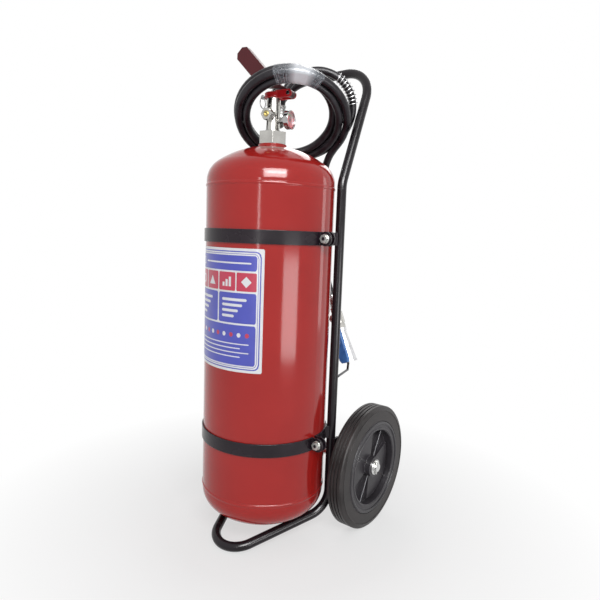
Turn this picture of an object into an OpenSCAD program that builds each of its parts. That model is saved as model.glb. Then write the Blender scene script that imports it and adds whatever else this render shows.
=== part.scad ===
// Wheeled powder fire extinguisher: a red pressure vessel strapped to a bent tube trolley,
// with a lever valve, pressure gauge, coiled discharge hose and a nozzle with a ball valve.
// Millimetres, +Z up, the front of the vessel towards -Y, wheels behind it.

/* [Vessel] */
// Outside diameter of the pressure vessel
cyl_d = 300; // [280:2:320]
// Wall of the vessel
cyl_wall = 4; // [3:0.5:6]
// Height of the rolled barrel between its two welds
barrel_h = 715; // [600:5:800]
// Gap between the lower head and the floor
floor_gap = 34; // [30:1:45]
// Straight flange of each pressed head
flange_h = 10; // [6:1:15]
// Knuckle radius of each head
knuckle_r = 55; // [45:1:65]
// Crown radius of each head
crown_r = 220; // [210:2:240]
// Outside diameter of the welded neck ring
neck_d = 66; // [60:1:72]
// Height of the neck ring above the top of the head
neck_rise = 4; // [3:0.5:8]

/* [Label] */
// Half of the angle that the label wraps round the vessel
label_half = 43; // [30:1:50]
// Turn of the label's middle from the front
label_turn = -5.5; // [-10:0.5:10]
// Height of the label
label_h = 270; // [220:5:300]
// Height of the label's lower edge above the barrel's lower weld
label_rise = 306; // [250:2:330]

/* [Frame] */
// Outside diameter of the frame tube
tube_d = 22; // [20:1:25]
// Wall of the frame tube
tube_wall = 2; // [1.5:0.5:3]
// Distance of each upright's middle from the vessel's wall
pole_gap = 16.2; // [15.6:0.1:20]
// Angle of the uprights behind the vessel's widest line
pole_way = 32.6; // [30:0.1:36]
// Height at which the uprights start to lean back
lean_z = 848; // [820:1:870]
// Angle by which the handle leans back
lean_a = 22.3; // [18:0.1:26]
// Bend radius where the handle leans back
lean_r = 60; // [50:1:80]
// Straight length of each leaning handle side
handle_leg = 217; // [200:1:240]
// Bend radius of the handle's corners
handle_r = 79; // [70:1:90]
// Bend radius between upright and foot
heel_r = 60; // [50:1:70]
// Bend radius of the foot's half-round front
foot_r = 59; // [50:1:65]
// Reach of the foot's front in front of the vessel's axis
foot_reach = 135.5; // [120:0.5:140]
// Angle at which the foot falls towards its front
foot_slope = 13; // [10:0.5:16]

/* [Bands] */
// Height of the upper band's middle above the floor
band_top_z = 731; // [700:1:760]
// Height of the lower band's middle above the floor
band_low_z = 261; // [250:1:300]
// Height of each band
band_h = 30; // [26:1:34]
// Thickness of each band
band_t = 3; // [2:0.5:4]
// Distance of the clamp bolts from the middle plane
bolt_x = 167; // [165:0.5:170]
// Diameter of the clamp bolts
bolt_d = 10; // [8:1:12]

/* [Wheels] */
// Outside diameter of the tyre
wheel_d = 312; // [300:2:320]
// Width of the tyre
tyre_w = 45; // [42:1:48]
// Diameter of the tyre's seat on the rim
seat_d = 216; // [210:1:222]
// Inside diameter of the rim's ring
rim_in_d = 190; // [184:1:196]
// Distance of each wheel's middle from the middle plane
wheel_x = 189.5; // [188:0.5:195]
// Distance of the axle behind the vessel's axis
axle_y = 189.4; // [188:0.2:195]
// Diameter of the axle
axle_d = 20; // [16:1:22]
// Diameter of the wheel's hub
hub_d = 52; // [48:1:58]

/* [Valve] */
// Turn of the valve in the neck
valve_turn = 11; // [0:1:20]
// Width across flats of the valve's hexagon
hex_af = 60; // [56:1:64]
// Height of the valve's hexagon
hex_h = 28; // [24:1:32]
// Diameter of the valve body
body_d = 31; // [30:0.5:36]
// Height of the valve body above its hexagon
body_h = 75.6; // [75.6:0.2:80]
// Diameter of the red valve cap
cap_d = 42; // [40:1:46]
// Height of the red valve cap
cap_h = 12.4; // [12:0.1:14]
// Diameter of the pressure gauge
gauge_d = 42; // [36:1:44]
// Distance of the gauge's face from the valve's axis
gauge_reach = 48; // [46:0.5:56]
// Diameter of the valve stem
stem_d = 8; // [7:0.5:9]

/* [Lever] */
// Length of the lever's arm
lever_len = 131; // [110:1:140]
// Depth of the lever's arm
lever_depth = 36; // [30:1:40]
// Width of the lever
lever_w = 18; // [14:0.5:20]
// Angle of the lever's arm above the horizontal
lever_rise = 46.5; // [40:0.5:50]
// Distance of the lever's pivot from the valve's axis
pivot_x = 44; // [42:0.5:48]
// Diameter of the lever's pivot pin
pivot_d = 6; // [5:0.5:7]
// Travel of the lever
lever_travel = 12; // [8:1:12]

/* [Hose] */
// Outside diameter of the hose
hose_d = 18; // [16:0.5:18]
// Clear gap between neighbouring turns of the coil
turn_gap = 0.6; // [0.5:0.1:1]
// Radius of the outermost turn's centre line
coil_r = 133; // [128:1:134]
// Number of turns in the coil
coil_turns = 3.972; // [2.972:1:3.972]
// Length of the discharge horn
horn_len = 92; // [80:1:104]
// Outside diameter of the horn's mouth
mouth_d = 34; // [32:1:38]

/* [Hidden] */

$fn = 64;

// Clearances and small shared sizes
run_gap = 0.05;
seat_gap = 0.02;
band_gap = 0.3;
soft_gap = 0.4;
through = 1;

// Colours
red = [0.72, 0.05, 0.05];
dark_red = [0.45, 0.06, 0.07];
black = [0.07, 0.07, 0.08];
rubber_black = [0.10, 0.10, 0.10];
silver = [0.78, 0.78, 0.80];
brass_yellow = [0.80, 0.62, 0.28];
blue = [0.10, 0.30, 0.75];
white = [0.95, 0.95, 0.95];

// Vessel
cyl_r = cyl_d / 2;
head_h = crown_r - sqrt(pow(crown_r - knuckle_r, 2) - pow(cyl_r - knuckle_r, 2));
weld_low_z = floor_gap + head_h + flange_h;
weld_top_z = weld_low_z + barrel_h;
top_z = weld_top_z + flange_h + head_h;
bead_r = 6;
bead_rise = 1.5;
neck_bore_r = 22.05;
neck_spigot_r = neck_d / 2 - 7;
neck_top_z = top_z + neck_rise;
neck_depth = 18;

// The tyre's back and the bands' front bound the part, and its middle is the origin
pole_x = (cyl_r + pole_gap) * cos(pole_way);
pole_y = (cyl_r + pole_gap) * sin(pole_way);
band_r = cyl_r + band_gap;
band_out_r = band_r + band_t;
front_y = -band_out_r;
back_y = axle_y + wheel_d / 2;
mid_y = (front_y + back_y) / 2;

// Frame
tube_r = tube_d / 2;
toe_y = -foot_reach;
heel_s = (pole_y - toe_y) / cos(foot_slope);
foot_dist = norm([pole_x, heel_s - foot_r]);
foot_a = atan2(pole_x, heel_s - foot_r) - asin(foot_r / foot_dist);
heel_turn = acos(cos(foot_a) * sin(foot_slope));
heel_way = atan2(sin(foot_a), cos(foot_a) * cos(foot_slope));
heel_cut = heel_r * tan(heel_turn / 2);
heel_z = tube_r + tan(foot_slope) * (pole_y - toe_y) + heel_cut;
foot_leg = sqrt(pow(foot_dist, 2) - pow(foot_r, 2)) - heel_cut;

// Bands
ear_face = 5;
ear_r = band_h / 2 + 1;
bolt_clear = 0.5;
nut_af = bolt_d * 1.7;
head_t = bolt_d * 0.64;
nut_t = bolt_d * 0.8;
washer_t = 2;
washer_r = bolt_d * 1.05;
lug_w = 20;

// Wheels
wheel_r = wheel_d / 2;
half_w = tyre_w / 2;
lip_r = seat_d / 2 + 9;
lip_t = 3;
seat_half = half_w - 0.5 - lip_t;
groove_w = 3;
groove_depth = 3;
groove_step = 9;
tread_half = 17;
web_t = 8;
pad_t = 8;
pad_half_a = 60;
pad_turn = 55;
rib_t = 3;
rib_rise = 2;
bush_t = 4;
axle_r = axle_d / 2;
bush_r = axle_r + bush_t;
bracket_t = 6;
bracket_lap = 10;
bracket_rise = 92;
bracket_w = 20;
bracket_x = pole_x + tube_r;
washer_gap = 0.3;
axle_washer_t = 2.5;
axle_end_x = wheel_x + half_w + 10;
pin_hole_x = wheel_x + half_w + washer_gap + axle_washer_t + 2.5;
split_r = 1.8;

// Valve, with its axis on the vessel's axis
hex_z = neck_top_z;
body_z = hex_z + hex_h;
body_r = body_d / 2;
body_top_z = body_z + body_h;
spigot_len = 38;
inlet_r = 8;
spring_z = hex_z + 15;
seat_z = hex_z + 42;
seat_t = 5;
seat_r = 5.5;
well_r = 10.5;
chamber_r = 8;
chamber_top = seat_z + seat_t + 26;
guide_top = body_top_z - 9.6;
stem_r = stem_d / 2;
stem_top_r = stem_r + 2;
cap_spigot_r = 11;
cap_spigot_h = 2.4;
boss_z = hex_z + 64.5;
boss_af = 24;
boss_len = 33;
plug_r = 7;
port_z = hex_z + 54;
port_r = 5;
elbow_r = 9;
elbow_bore = 6;
outlet_af = 24;
outlet_t = 8;
ferrule_r = 12;
elbow_y = body_r + 3 + outlet_t + elbow_r + 0.5;
ferrule_z = port_z + outlet_af / 2 / cos(30) + 0.5;
lead_z = ferrule_z + 28;
gauge_z = hex_z + 54;
gauge_r = gauge_d / 2;
gauge_t = 12;
gauge_neck_r = 5;
gauge_af = 14;
siphon_r = 12;
siphon_wall = 2;
siphon_z = floor_gap + 20;
siphon_seat = 15;

// Lever and its pivot on the cap's ears
cap_top_z = body_top_z + cap_h;
pivot_z = cap_top_z - 5;
heel_eye_r = 8.5;
ear_t = 3.5;
ear_gap = 0.3;
lever_slope = lever_travel;
heel_q = 6;
function under_z(x) = pivot_z + (pivot_x - x) * tan(lever_slope) + heel_q / cos(lever_slope);
tip_r = 4;
stem_top_z = under_z(tip_r) - 0.3;
stem_travel = 0.0435 * 1000 * lever_travel * PI / 180;
arm_z = under_z(0) + 7;

// Safety pin through cap and stem
pin_r = 2.5;
pin_z = body_top_z + 6.2;
pin_out = cap_d / 2 + 8;
eye_r = 5;
eye_t = 4;
eye_hole_r = 2.2;
ring_r = 12;
ring_wire = 1.1;
ring_z = pin_z - eye_hole_r + ring_wire + 0.35 - ring_r;

// Coil: its middle, its tilt and its axes (right, up along the lean, and out to the front)
coil_c = [23, 37, 1010];
coil_yaw = 38;
coil_lean = 50;
coil_right = [cos(coil_yaw), sin(coil_yaw), 0];
coil_back = [-sin(coil_yaw), cos(coil_yaw), 0];
coil_up = cos(coil_lean) * [0, 0, 1] - sin(coil_lean) * coil_back;
coil_out = cross(coil_right, coil_up);
turn_pitch = hose_d + turn_gap;
coil_start_a = 130;
layer_half = turn_pitch / 2;

// Where the hose runs free: points chosen by hand
lead_points = [
  [-6.9, 35.3, 1039.5], [-4, 37.2, 1059.6], [2.4, 41.4, 1078.2], [12.2, 48, 1094.2], [24.8, 56.4, 1107],
  [39.6, 66.2, 1116], [56.8, 77.6, 1120.6], [76, 90, 1119.6], [96.2, 104.2, 1111.2], [111.8, 116.8, 1097.2],
  [122, 127.6, 1079.2], [126.6, 135.8, 1059], [125.6, 142, 1038.2], [119, 146.6, 1017.8],
  [107.4, 150.2, 999.6], [92.2, 153, 984.8]
];
tail_points = [
  [56, 153, 935], [42, 160, 915], [32, 168, 888], [25, 176, 855], [20, 184, 818], [16, 191, 775],
  [14, 198, 730], [16, 203, 685], [24, 205, 642]
];
guard_turns = 9;
guard_wire = 1.3;
guard_gap = 0.8;
guard_from = 0.519;
guard_to = 0.725;
tape_from = -18;
tape_to = 32;
tape_t = 1;

// Nozzle: where the horn meets the ball valve, and its tilt in the XZ plane
gun_p = [80.5, 205, 497];
gun_tilt = 22.5;
valve_len = 56;
ball_r = 11;
ball_bore_r = 6;
gun_body_r = 15;
gun_end_af = 26;
horn_top_r = 11;
horn_wall = 2;
mouth_bore_len = 12;
gun_ferrule_len = 34;
gun_stem_r = 4;
grip_y = 25;
grip_from = 26;
grip_len = 93;
grip_w = 22;
grip_flare = 26;
grip_t = 9;
strip_t = 3;
strip_w = 14;
hook_r = 3;
mouth_c = gun_p + horn_len * [sin(gun_tilt), 0, -cos(gun_tilt)];
hook_points = [
  [pole_x + 6, pole_y + 9, mouth_c[2] - 14], mouth_c + [-5, -6, -22],
  mouth_c + [-3.7, -6, -5], mouth_c + [-13.7, -6, 21]
];

// ---------------------------------------------------------------- helpers

// Puts a piece drawn about the vessel's axis into the part's own frame
module placed() {
  translate([0, -mid_y, 0]) children();
}

// Puts a piece drawn about the valve's own axes into the part's own frame
module on_valve() {
  placed() rotate([0, 0, valve_turn]) children();
}

// Puts a piece drawn along the nozzle's axis, which points to the mouth, into the frame
module on_gun() {
  placed() translate(gun_p) rotate([0, 180 - gun_tilt, 0]) children();
}

// A straight hollow length of frame tube, upwards from the origin
module tube(length) {
  difference() {
    cylinder(r = tube_r, h = length);
    translate([0, 0, -through]) cylinder(r = tube_r - tube_wall, h = length + 2 * through);
  }
}

// A bend of frame tube, from the X axis round Z
module tube_bend(radius, angle) {
  rotate_extrude(angle = angle, $fn = 96) translate([radius, 0]) difference() {
    circle(r = tube_r);
    circle(r = tube_r - tube_wall);
  }
}

// A hexagonal prism by its width across flats
module hexagon(across, height) {
  cylinder(r = across / 2 / cos(30), h = height, $fn = 6);
}

// A round rod between two points
module rod(from, to, radius) {
  d = to - from;
  translate(from) rotate([0, acos(d[2] / norm(d)), atan2(d[1], d[0])]) cylinder(r = radius, h = norm(d));
}

// The outline of a pressed head, from its flange at z = 0 upwards
module head_outline(radius, knuckle, crown, height) {
  edge_a = atan2(crown - height, radius - knuckle);
  intersection() {
    union() {
      translate([radius - knuckle, 0]) circle(r = knuckle);
      intersection() {
        translate([0, height - crown]) circle(r = crown, $fn = 128);
        polygon([[0, height - crown],
          [2 * crown * cos(edge_a), height - crown + 2 * crown * sin(edge_a)], [0, 2 * crown]]);
      }
    }
    square([radius, height + through]);
  }
}

// The outline of the whole vessel, drawn in by a wall
module vessel_outline(wall) {
  r = cyl_r - wall;
  height = head_h - wall;
  translate([0, weld_low_z - flange_h]) {
    square([r, barrel_h + 2 * flange_h]);
    mirror([0, 1]) head_outline(r, knuckle_r - wall, crown_r - wall, height);
    translate([0, barrel_h + 2 * flange_h]) head_outline(r, knuckle_r - wall, crown_r - wall, height);
  }
}

// Points of a circle about p, square to direction d, with one side kept towards "side"
function unit(v) = v / norm(v);
function ring_points(p, d, side, radius, count) =
  let (w = unit(d), v = unit(cross(w, side)), u = cross(v, w))
  [for (i = [0:count - 1]) p + radius * (cos(360 * i / count) * u + sin(360 * i / count) * v)];

// Heading of a line of points at point i
function heading(path, i) = unit(path[min(i + 1, len(path) - 1)] - path[max(i - 1, 0)]);

// A tube swept along points; headings at its ends may be given
module swept_tube(path, radius, sides, side = [0, 0, 1], first = undef, last = undef) {
  n = len(path);
  rings = [for (i = [0:n - 1]) ring_points(path[i],
    i == 0 && first != undef ? first : i == n - 1 && last != undef ? last : heading(path, i),
    side, radius, sides)];
  points = [for (r = rings) each r];
  walls = [for (i = [0:n - 2]) for (k = [0:sides - 1])
    let (a = i * sides + k, b = i * sides + (k + 1) % sides) each
      [[a, a + sides, b], [b, a + sides, b + sides]]];
  caps = [for (k = [1:sides - 2]) each [[0, k, k + 1],
    [(n - 1) * sides, (n - 1) * sides + k + 1, (n - 1) * sides + k]]];
  polyhedron(points = points, faces = concat(walls, caps), convexity = 10);
}

// ---------------------------------------------------------------- vessel

module cylinder_shell() {
  color(red) placed() difference() {
    rotate_extrude($fn = 128) difference() {
      union() {
        vessel_outline(0);
        for (z = [weld_low_z, weld_top_z]) translate([cyl_r + bead_rise - bead_r, z]) circle(r = bead_r);
      }
      vessel_outline(cyl_wall);
    }
    translate([0, 0, top_z - neck_depth]) cylinder(r = neck_spigot_r + seat_gap, h = neck_depth + neck_rise);
  }
}

module neck_ring() {
  color(red) placed() difference() {
    union() {
      translate([0, 0, top_z - neck_depth + through]) cylinder(r = neck_spigot_r, h = neck_depth);
      difference() {
        translate([0, 0, top_z - neck_rise]) cylinder(r = neck_d / 2, h = 2 * neck_rise);
        translate([0, 0, top_z - crown_r]) sphere(r = crown_r + seat_gap, $fn = 128);
      }
    }
    translate([0, 0, top_z - 2 * neck_depth]) cylinder(r = neck_bore_r, h = 3 * neck_depth);
  }
}

module label() {
  color(white) placed() translate([0, 0, weld_low_z + label_rise])
    rotate([0, 0, -90 + label_turn - label_half])
      rotate_extrude(angle = 2 * label_half, $fn = 128)
        translate([cyl_r + seat_gap, 0]) square([soft_gap, label_h]);
}

module siphon_tube() {
  top = hex_z - spigot_len + siphon_seat;
  color(silver) placed() difference() {
    translate([0, 0, siphon_z]) cylinder(r = siphon_r, h = top - siphon_z - run_gap);
    translate([0, 0, siphon_z - through]) cylinder(r = siphon_r - siphon_wall, h = top);
  }
}

module neck_seal() {
  color(black) placed() translate([0, 0, neck_top_z + 1.5]) rotate_extrude() translate([neck_bore_r + 4, 0])
    circle(r = 1.4, $fn = 24);
}

// ---------------------------------------------------------------- frame

// Puts a piece drawn from the right upright's lower end, along the way its heel turns, on one side
module at_heel(side) {
  color(black) placed() mirror([side > 0 ? 0 : 1, 0, 0]) translate([pole_x, pole_y, heel_z])
    rotate([0, 0, -heel_way]) children();
}

// An upright, with the heel where its tube bends forwards
module pole(side) {
  at_heel(side) {
    tube(lean_z - heel_z);
    translate([0, -heel_r, 0]) rotate([-90, 0, 90]) tube_bend(heel_r, heel_turn);
  }
}

// The foot's straight side, which slopes down from the heel
module foot_side(side) {
  at_heel(side) translate([0, heel_r * (cos(heel_turn) - 1), -heel_r * sin(heel_turn)])
    rotate([180 - heel_turn, 0, 0]) tube(foot_leg);
}

module pole_left() { pole(-1); }
module pole_right() { pole(1); }
module foot_side_left() { foot_side(-1); }
module foot_side_right() { foot_side(1); }

module handle_side() {
  translate([pole_x, pole_y, lean_z]) {
    translate([0, lean_r, 0]) rotate([90, 0, -90]) tube_bend(lean_r, lean_a);
    translate([0, lean_r * (1 - cos(lean_a)), lean_r * sin(lean_a)]) rotate([-lean_a, 0, 0]) {
      tube(handle_leg);
      translate([-handle_r, 0, handle_leg]) rotate([90, 0, 0]) tube_bend(handle_r, 90);
      translate([-pole_x, 0, handle_leg + handle_r]) rotate([0, 90, 0]) tube(pole_x - handle_r);
    }
  }
}

module handle_bow() {
  color(black) placed() {
    handle_side();
    mirror([1, 0, 0]) handle_side();
  }
}

// The foot's front, which joins both sides in a sloping plane
module foot_bow() {
  color(black) placed() translate([0, toe_y, tube_r]) rotate([foot_slope, 0, 0]) translate([0, foot_r, 0])
    rotate([0, 0, foot_a - 180]) tube_bend(foot_r, 180 - 2 * foot_a);
}

// ---------------------------------------------------------------- bands

// One half of a band clamp, open towards -Y, with an ear at each end
module half_band() {
  ear_in = band_r + band_t / 2;
  difference() {
    union() {
      translate([0, 0, -band_h / 2]) linear_extrude(height = band_h) {
        intersection() {
          difference() {
            circle(r = band_out_r, $fn = 128);
            circle(r = band_r, $fn = 128);
          }
          translate([-2 * band_r, ear_face]) square([4 * band_r, 2 * band_r]);
        }
        for (side = [-1, 1])
          translate([side > 0 ? ear_in : -bolt_x, ear_face]) square([bolt_x - ear_in, band_t]);
      }
      for (side = [-1, 1]) translate([side * bolt_x, ear_face, 0]) rotate([-90, 0, 0])
        cylinder(r = ear_r, h = band_t);
    }
    for (side = [-1, 1]) translate([side * bolt_x, ear_face - through, 0]) rotate([-90, 0, 0])
      cylinder(r = (bolt_d + bolt_clear) / 2, h = band_t + 2 * through);
  }
}

module strap(z) {
  color(black) placed() translate([0, 0, z]) mirror([0, 1, 0]) half_band();
}

module strap_upper() { strap(band_top_z); }
module strap_lower() { strap(band_low_z); }

// The rear half, welded to both uprights by a lug
module cradle(z) {
  lug_a = atan2(pole_y, pole_x);
  lug_len = norm([pole_x, pole_y]) - band_out_r;
  color(black) placed() difference() {
    translate([0, 0, z]) {
      half_band();
      for (a = [lug_a, 180 - lug_a]) rotate([0, 0, a])
        translate([band_out_r - band_t / 2, -lug_w / 2, -band_h / 2]) cube([lug_len, lug_w, band_h]);
    }
    for (side = [-1, 1]) translate([side * pole_x, pole_y, z - band_h])
      cylinder(r = tube_r + seat_gap, h = 2 * band_h);
  }
}

module cradle_upper() { cradle(band_top_z); }
module cradle_lower() { cradle(band_low_z); }

module clamp_bolts() {
  color(silver) placed() for (z = [band_top_z, band_low_z]) for (side = [-1, 1])
    translate([side * bolt_x, -ear_face - band_t, z]) rotate([90, 0, 0]) {
      cylinder(r = washer_r, h = washer_t);
      translate([0, 0, washer_t]) hexagon(nut_af, head_t);
      translate([0, 0, -2 * (ear_face + band_t) - nut_t - 2])
        cylinder(r = bolt_d / 2, h = 2 * (ear_face + band_t) + nut_t + 3);
    }
}

module clamp_nuts() {
  color(silver) placed() for (z = [band_top_z, band_low_z]) for (side = [-1, 1])
    translate([side * bolt_x, ear_face + band_t, z]) rotate([-90, 0, 0]) difference() {
      hexagon(nut_af, nut_t);
      translate([0, 0, -through]) cylinder(r = bolt_d / 2 + seat_gap, h = nut_t + 2 * through);
    }
}

// ---------------------------------------------------------------- axle and wheels

module axle_bracket(side) {
  color(black) placed() difference() {
    translate([side > 0 ? bracket_x + seat_gap : -bracket_x - seat_gap - bracket_t, 0, 0])
      rotate([90, 0, 90]) linear_extrude(height = bracket_t) union() {
        polygon([[pole_y - bracket_lap, wheel_r - bracket_w], [axle_y, wheel_r - bracket_w],
          [axle_y + bracket_w, wheel_r], [axle_y, wheel_r + bracket_w],
            [pole_y + bracket_lap, wheel_r + bracket_rise],
          [pole_y - bracket_lap, wheel_r + bracket_rise]]);
        translate([axle_y, wheel_r]) circle(r = 2 * axle_r);
      }
    translate([-axle_end_x, axle_y, wheel_r]) rotate([0, 90, 0])
      cylinder(r = axle_r + seat_gap, h = 2 * axle_end_x);
  }
}

module axle_bracket_left() { axle_bracket(-1); }
module axle_bracket_right() { axle_bracket(1); }

module axle() {
  color(silver) placed() translate([0, axle_y, wheel_r]) difference() {
    rotate([0, 90, 0]) translate([0, 0, -axle_end_x]) cylinder(r = axle_r, h = 2 * axle_end_x);
    for (side = [-1, 1]) translate([side * pin_hole_x, 0, -2 * axle_r])
      cylinder(r = split_r + run_gap, h = 4 * axle_r);
  }
}

module axle_spacers() {
  inner = bracket_x + seat_gap + bracket_t + washer_gap;
  length = wheel_x - half_w - washer_gap - inner;
  color(silver) placed() for (side = [-1, 1])
    translate([side > 0 ? inner : -inner - length, axle_y, wheel_r])
    rotate([0, 90, 0]) difference() {
      cylinder(r = bush_r, h = length);
      translate([0, 0, -through]) cylinder(r = axle_r + run_gap, h = length + 2 * through);
    }
}

module axle_washers() {
  inner = wheel_x + half_w + washer_gap;
  color(silver) placed() for (side = [-1, 1])
    translate([side > 0 ? inner : -inner - axle_washer_t, axle_y, wheel_r]) rotate([0, 90, 0]) difference() {
      cylinder(r = 1.9 * axle_r, h = axle_washer_t);
      translate([0, 0, -through]) cylinder(r = axle_r + run_gap, h = axle_washer_t + 2 * through);
    }
}

module split_pins() {
  color(silver) placed() for (side = [-1, 1]) translate([side * pin_hole_x, axle_y, wheel_r]) {
    translate([0, 0, -axle_r - 8]) cylinder(r = split_r, h = 2 * axle_r + 10);
    translate([0, 0, axle_r + 4.8]) rotate([0, 90, 0]) rotate_extrude()
      translate([3.2, 0]) circle(r = 1.4, $fn = 24);
  }
}

// Turns a wheel drawn round Z, its outer face upwards, onto the axle
module on_axle(side) {
  placed() translate([side * wheel_x, axle_y, wheel_r]) rotate([0, side * 90, 0]) children();
}

module tyre(side) {
  color(rubber_black) on_axle(side) rotate_extrude($fn = 128) difference() {
    polygon([[seat_d / 2 + seat_gap, -seat_half + seat_gap], [lip_r + 1, -seat_half + seat_gap],
      [lip_r + 1, -half_w], [wheel_r - 10, -half_w + 0.5], [wheel_r - 2.5, -tread_half - 2.5],
      [wheel_r, -tread_half], [wheel_r, tread_half], [wheel_r - 2.5, tread_half + 2.5],
      [wheel_r - 10, half_w - 0.5], [lip_r + 1, half_w], [lip_r + 1, seat_half - seat_gap],
      [seat_d / 2 + seat_gap, seat_half - seat_gap]]);
    for (x = [-groove_step, 0, groove_step]) translate([wheel_r - groove_depth, x - groove_w / 2])
      square([2 * groove_depth, groove_w]);
  }
}

module tyre_left() { tyre(-1); }
module tyre_right() { tyre(1); }

module rim(side) {
  in_r = rim_in_d / 2;
  color(black) on_axle(side) difference() {
    union() {
      rotate_extrude($fn = 96) {
        polygon([[in_r, 0.5 - half_w], [lip_r, 0.5 - half_w], [lip_r, -seat_half], [seat_d / 2, -seat_half],
          [seat_d / 2, seat_half], [lip_r, seat_half], [lip_r, half_w - 0.5], [in_r, half_w - 0.5]]);
        translate([0, -web_t]) square([in_r + 1, web_t]);
      }
      translate([0, 0, -half_w]) cylinder(r = hub_d / 2, h = tyre_w);
      for (a = [pad_turn, pad_turn + 180]) rotate([0, 0, a]) {
        rotate([0, 0, -pad_half_a]) rotate_extrude(angle = 2 * pad_half_a, $fn = 96)
          translate([hub_d / 2 - 1, -through]) square([in_r - hub_d / 2 - 6, pad_t + through]);
        translate([hub_d / 2 - 1, -rib_t / 2, 0]) cube([in_r - hub_d / 2 + 2, rib_t, pad_t + rib_rise]);
      }
    }
    translate([0, 0, -tyre_w]) cylinder(r = bush_r + seat_gap, h = 2 * tyre_w);
  }
}

module rim_left() { rim(-1); }
module rim_right() { rim(1); }

module bush(side) {
  color(brass_yellow) on_axle(side) difference() {
    translate([0, 0, -half_w]) cylinder(r = bush_r, h = tyre_w);
    translate([0, 0, -tyre_w]) cylinder(r = axle_r + run_gap, h = 2 * tyre_w);
  }
}

module bush_left() { bush(-1); }
module bush_right() { bush(1); }

// ---------------------------------------------------------------- valve

module valve_body() {
  color(silver) on_valve() difference() {
    union() {
      translate([0, 0, hex_z]) hexagon(hex_af, hex_h);
      translate([0, 0, hex_z - spigot_len]) cylinder(r = neck_bore_r - run_gap, h = spigot_len + through);
      translate([0, 0, body_z - through]) cylinder(r = body_r, h = body_h + through);
      translate([0, 0, body_z - through]) cylinder(r = body_r + 3, h = 5);
      translate([0, 0, body_top_z - 16]) cylinder(r = body_r + 1, h = 16);
      translate([0, 0, body_top_z - through])
        cylinder(r = cap_spigot_r - run_gap, h = cap_spigot_h + through);
      translate([0, 0, boss_z]) rotate([90, 0, 0]) hexagon(boss_af, boss_len);
      translate([0, 0, port_z]) rotate([-90, 0, 0]) cylinder(r = elbow_r + 1, h = body_r + 3);
    }
    // groove for the neck seal
    translate([0, 0, neck_top_z + 1.5]) rotate_extrude()
      translate([neck_bore_r + 4, 0]) circle(r = 1.4 + run_gap, $fn = 24);
    translate([0, 0, hex_z - spigot_len - through])
      cylinder(r = siphon_r + run_gap, h = siphon_seat + through);
    translate([0, 0, hex_z - spigot_len]) cylinder(r = inlet_r, h = spigot_len + spring_z - hex_z + through);
    translate([0, 0, spring_z]) cylinder(r = well_r, h = seat_z - spring_z);
    translate([0, 0, seat_z - through]) cylinder(r = seat_r, h = seat_t + 2 * through);
    translate([0, 0, seat_z + seat_t]) cylinder(r = chamber_r, h = chamber_top - seat_z - seat_t);
    translate([0, 0, chamber_top - through]) cylinder(r = stem_r + run_gap, h = body_h);
    translate([0, 0, guide_top]) cylinder(r = stem_top_r + 0.1, h = body_h);
    translate([0, 0, boss_z]) rotate([90, 0, 0]) translate([0, 0, body_r])
      cylinder(r = plug_r + run_gap, h = boss_len);
    translate([0, 0, port_z]) rotate([-90, 0, 0]) cylinder(r = port_r, h = 2 * body_r);
    translate([0, 0, gauge_z]) rotate([0, 90, 0])
      translate([0, 0, body_r - 5]) cylinder(r = gauge_neck_r + run_gap, h = body_r);
  }
}

module valve_cap() {
  ear_in = lever_w / 2 + ear_gap;
  ear_low = pivot_z - heel_eye_r;
  color(red) on_valve() difference() {
    union() {
      translate([0, 0, body_top_z + seat_gap]) cylinder(r = cap_d / 2, h = cap_h - 1.5);
      translate([0, 0, body_top_z + cap_h - 1.5]) rotate_extrude()
        polygon([[0, -through], [cap_d / 2 - 1.5, -through],
        [cap_d / 2, 0], [cap_d / 2 - 1.5, 1.5], [0, 1.5]]);
      for (side = [-1, 1]) translate([0, side > 0 ? ear_in : -ear_in - ear_t, 0]) {
        translate([8, 0, ear_low]) cube([pivot_x - 8, ear_t, 2 * heel_eye_r]);
        translate([pivot_x, 0, pivot_z]) rotate([-90, 0, 0]) cylinder(r = heel_eye_r, h = ear_t);
      }
    }
    translate([0, 0, body_top_z - through])
      cylinder(r = cap_spigot_r + run_gap, h = cap_spigot_h + through + run_gap);
    translate([0, 0, body_top_z - 3]) cylinder(r = body_r + 1 + run_gap, h = 3 + seat_gap);
    translate([0, 0, body_top_z]) cylinder(r = stem_top_r + 0.1, h = 2 * cap_h);
    translate([0, 0, cap_top_z]) cylinder(r = cap_d / 2 - 4, h = 2 * heel_eye_r);
    translate([-cap_d, 0, pin_z]) rotate([0, 90, 0])
      cylinder(r = pin_r + run_gap, h = cap_d + cap_d / 2 - 3.5);
    translate([pivot_x, -lever_w, pivot_z]) rotate([-90, 0, 0])
      cylinder(r = pivot_d / 2 + seat_gap, h = 2 * lever_w);
    // room for the lever's heel between the ears
    translate([cap_d / 2 + 3, -ear_in, ear_low - through]) cube([pivot_x, 2 * ear_in, 4 * heel_eye_r]);
  }
}

module valve_stem() {
  slot_w = 2 * pin_r + 0.4;
  color(silver) on_valve() difference() {
    union() {
      translate([0, 0, seat_z - 6]) cylinder(r = well_r - 1, h = 5.8);
      translate([0, 0, seat_z - through]) cylinder(r = stem_r, h = guide_top - seat_z);
      translate([0, 0, guide_top + stem_travel + 0.3])
        cylinder(r = stem_top_r, h = stem_top_z - 3 - guide_top - stem_travel - 0.3);
      translate([0, 0, guide_top - 2]) cylinder(r = stem_r, h = stem_travel + 4);
      translate([0, 0, stem_top_z - 4]) cylinder(r = tip_r, h = 4);
    }
    translate([-stem_d, -slot_w / 2, pin_z - pin_r - 0.2])
      cube([2 * stem_d, slot_w, 2 * pin_r + 0.4 + stem_travel]);
  }
}

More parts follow.
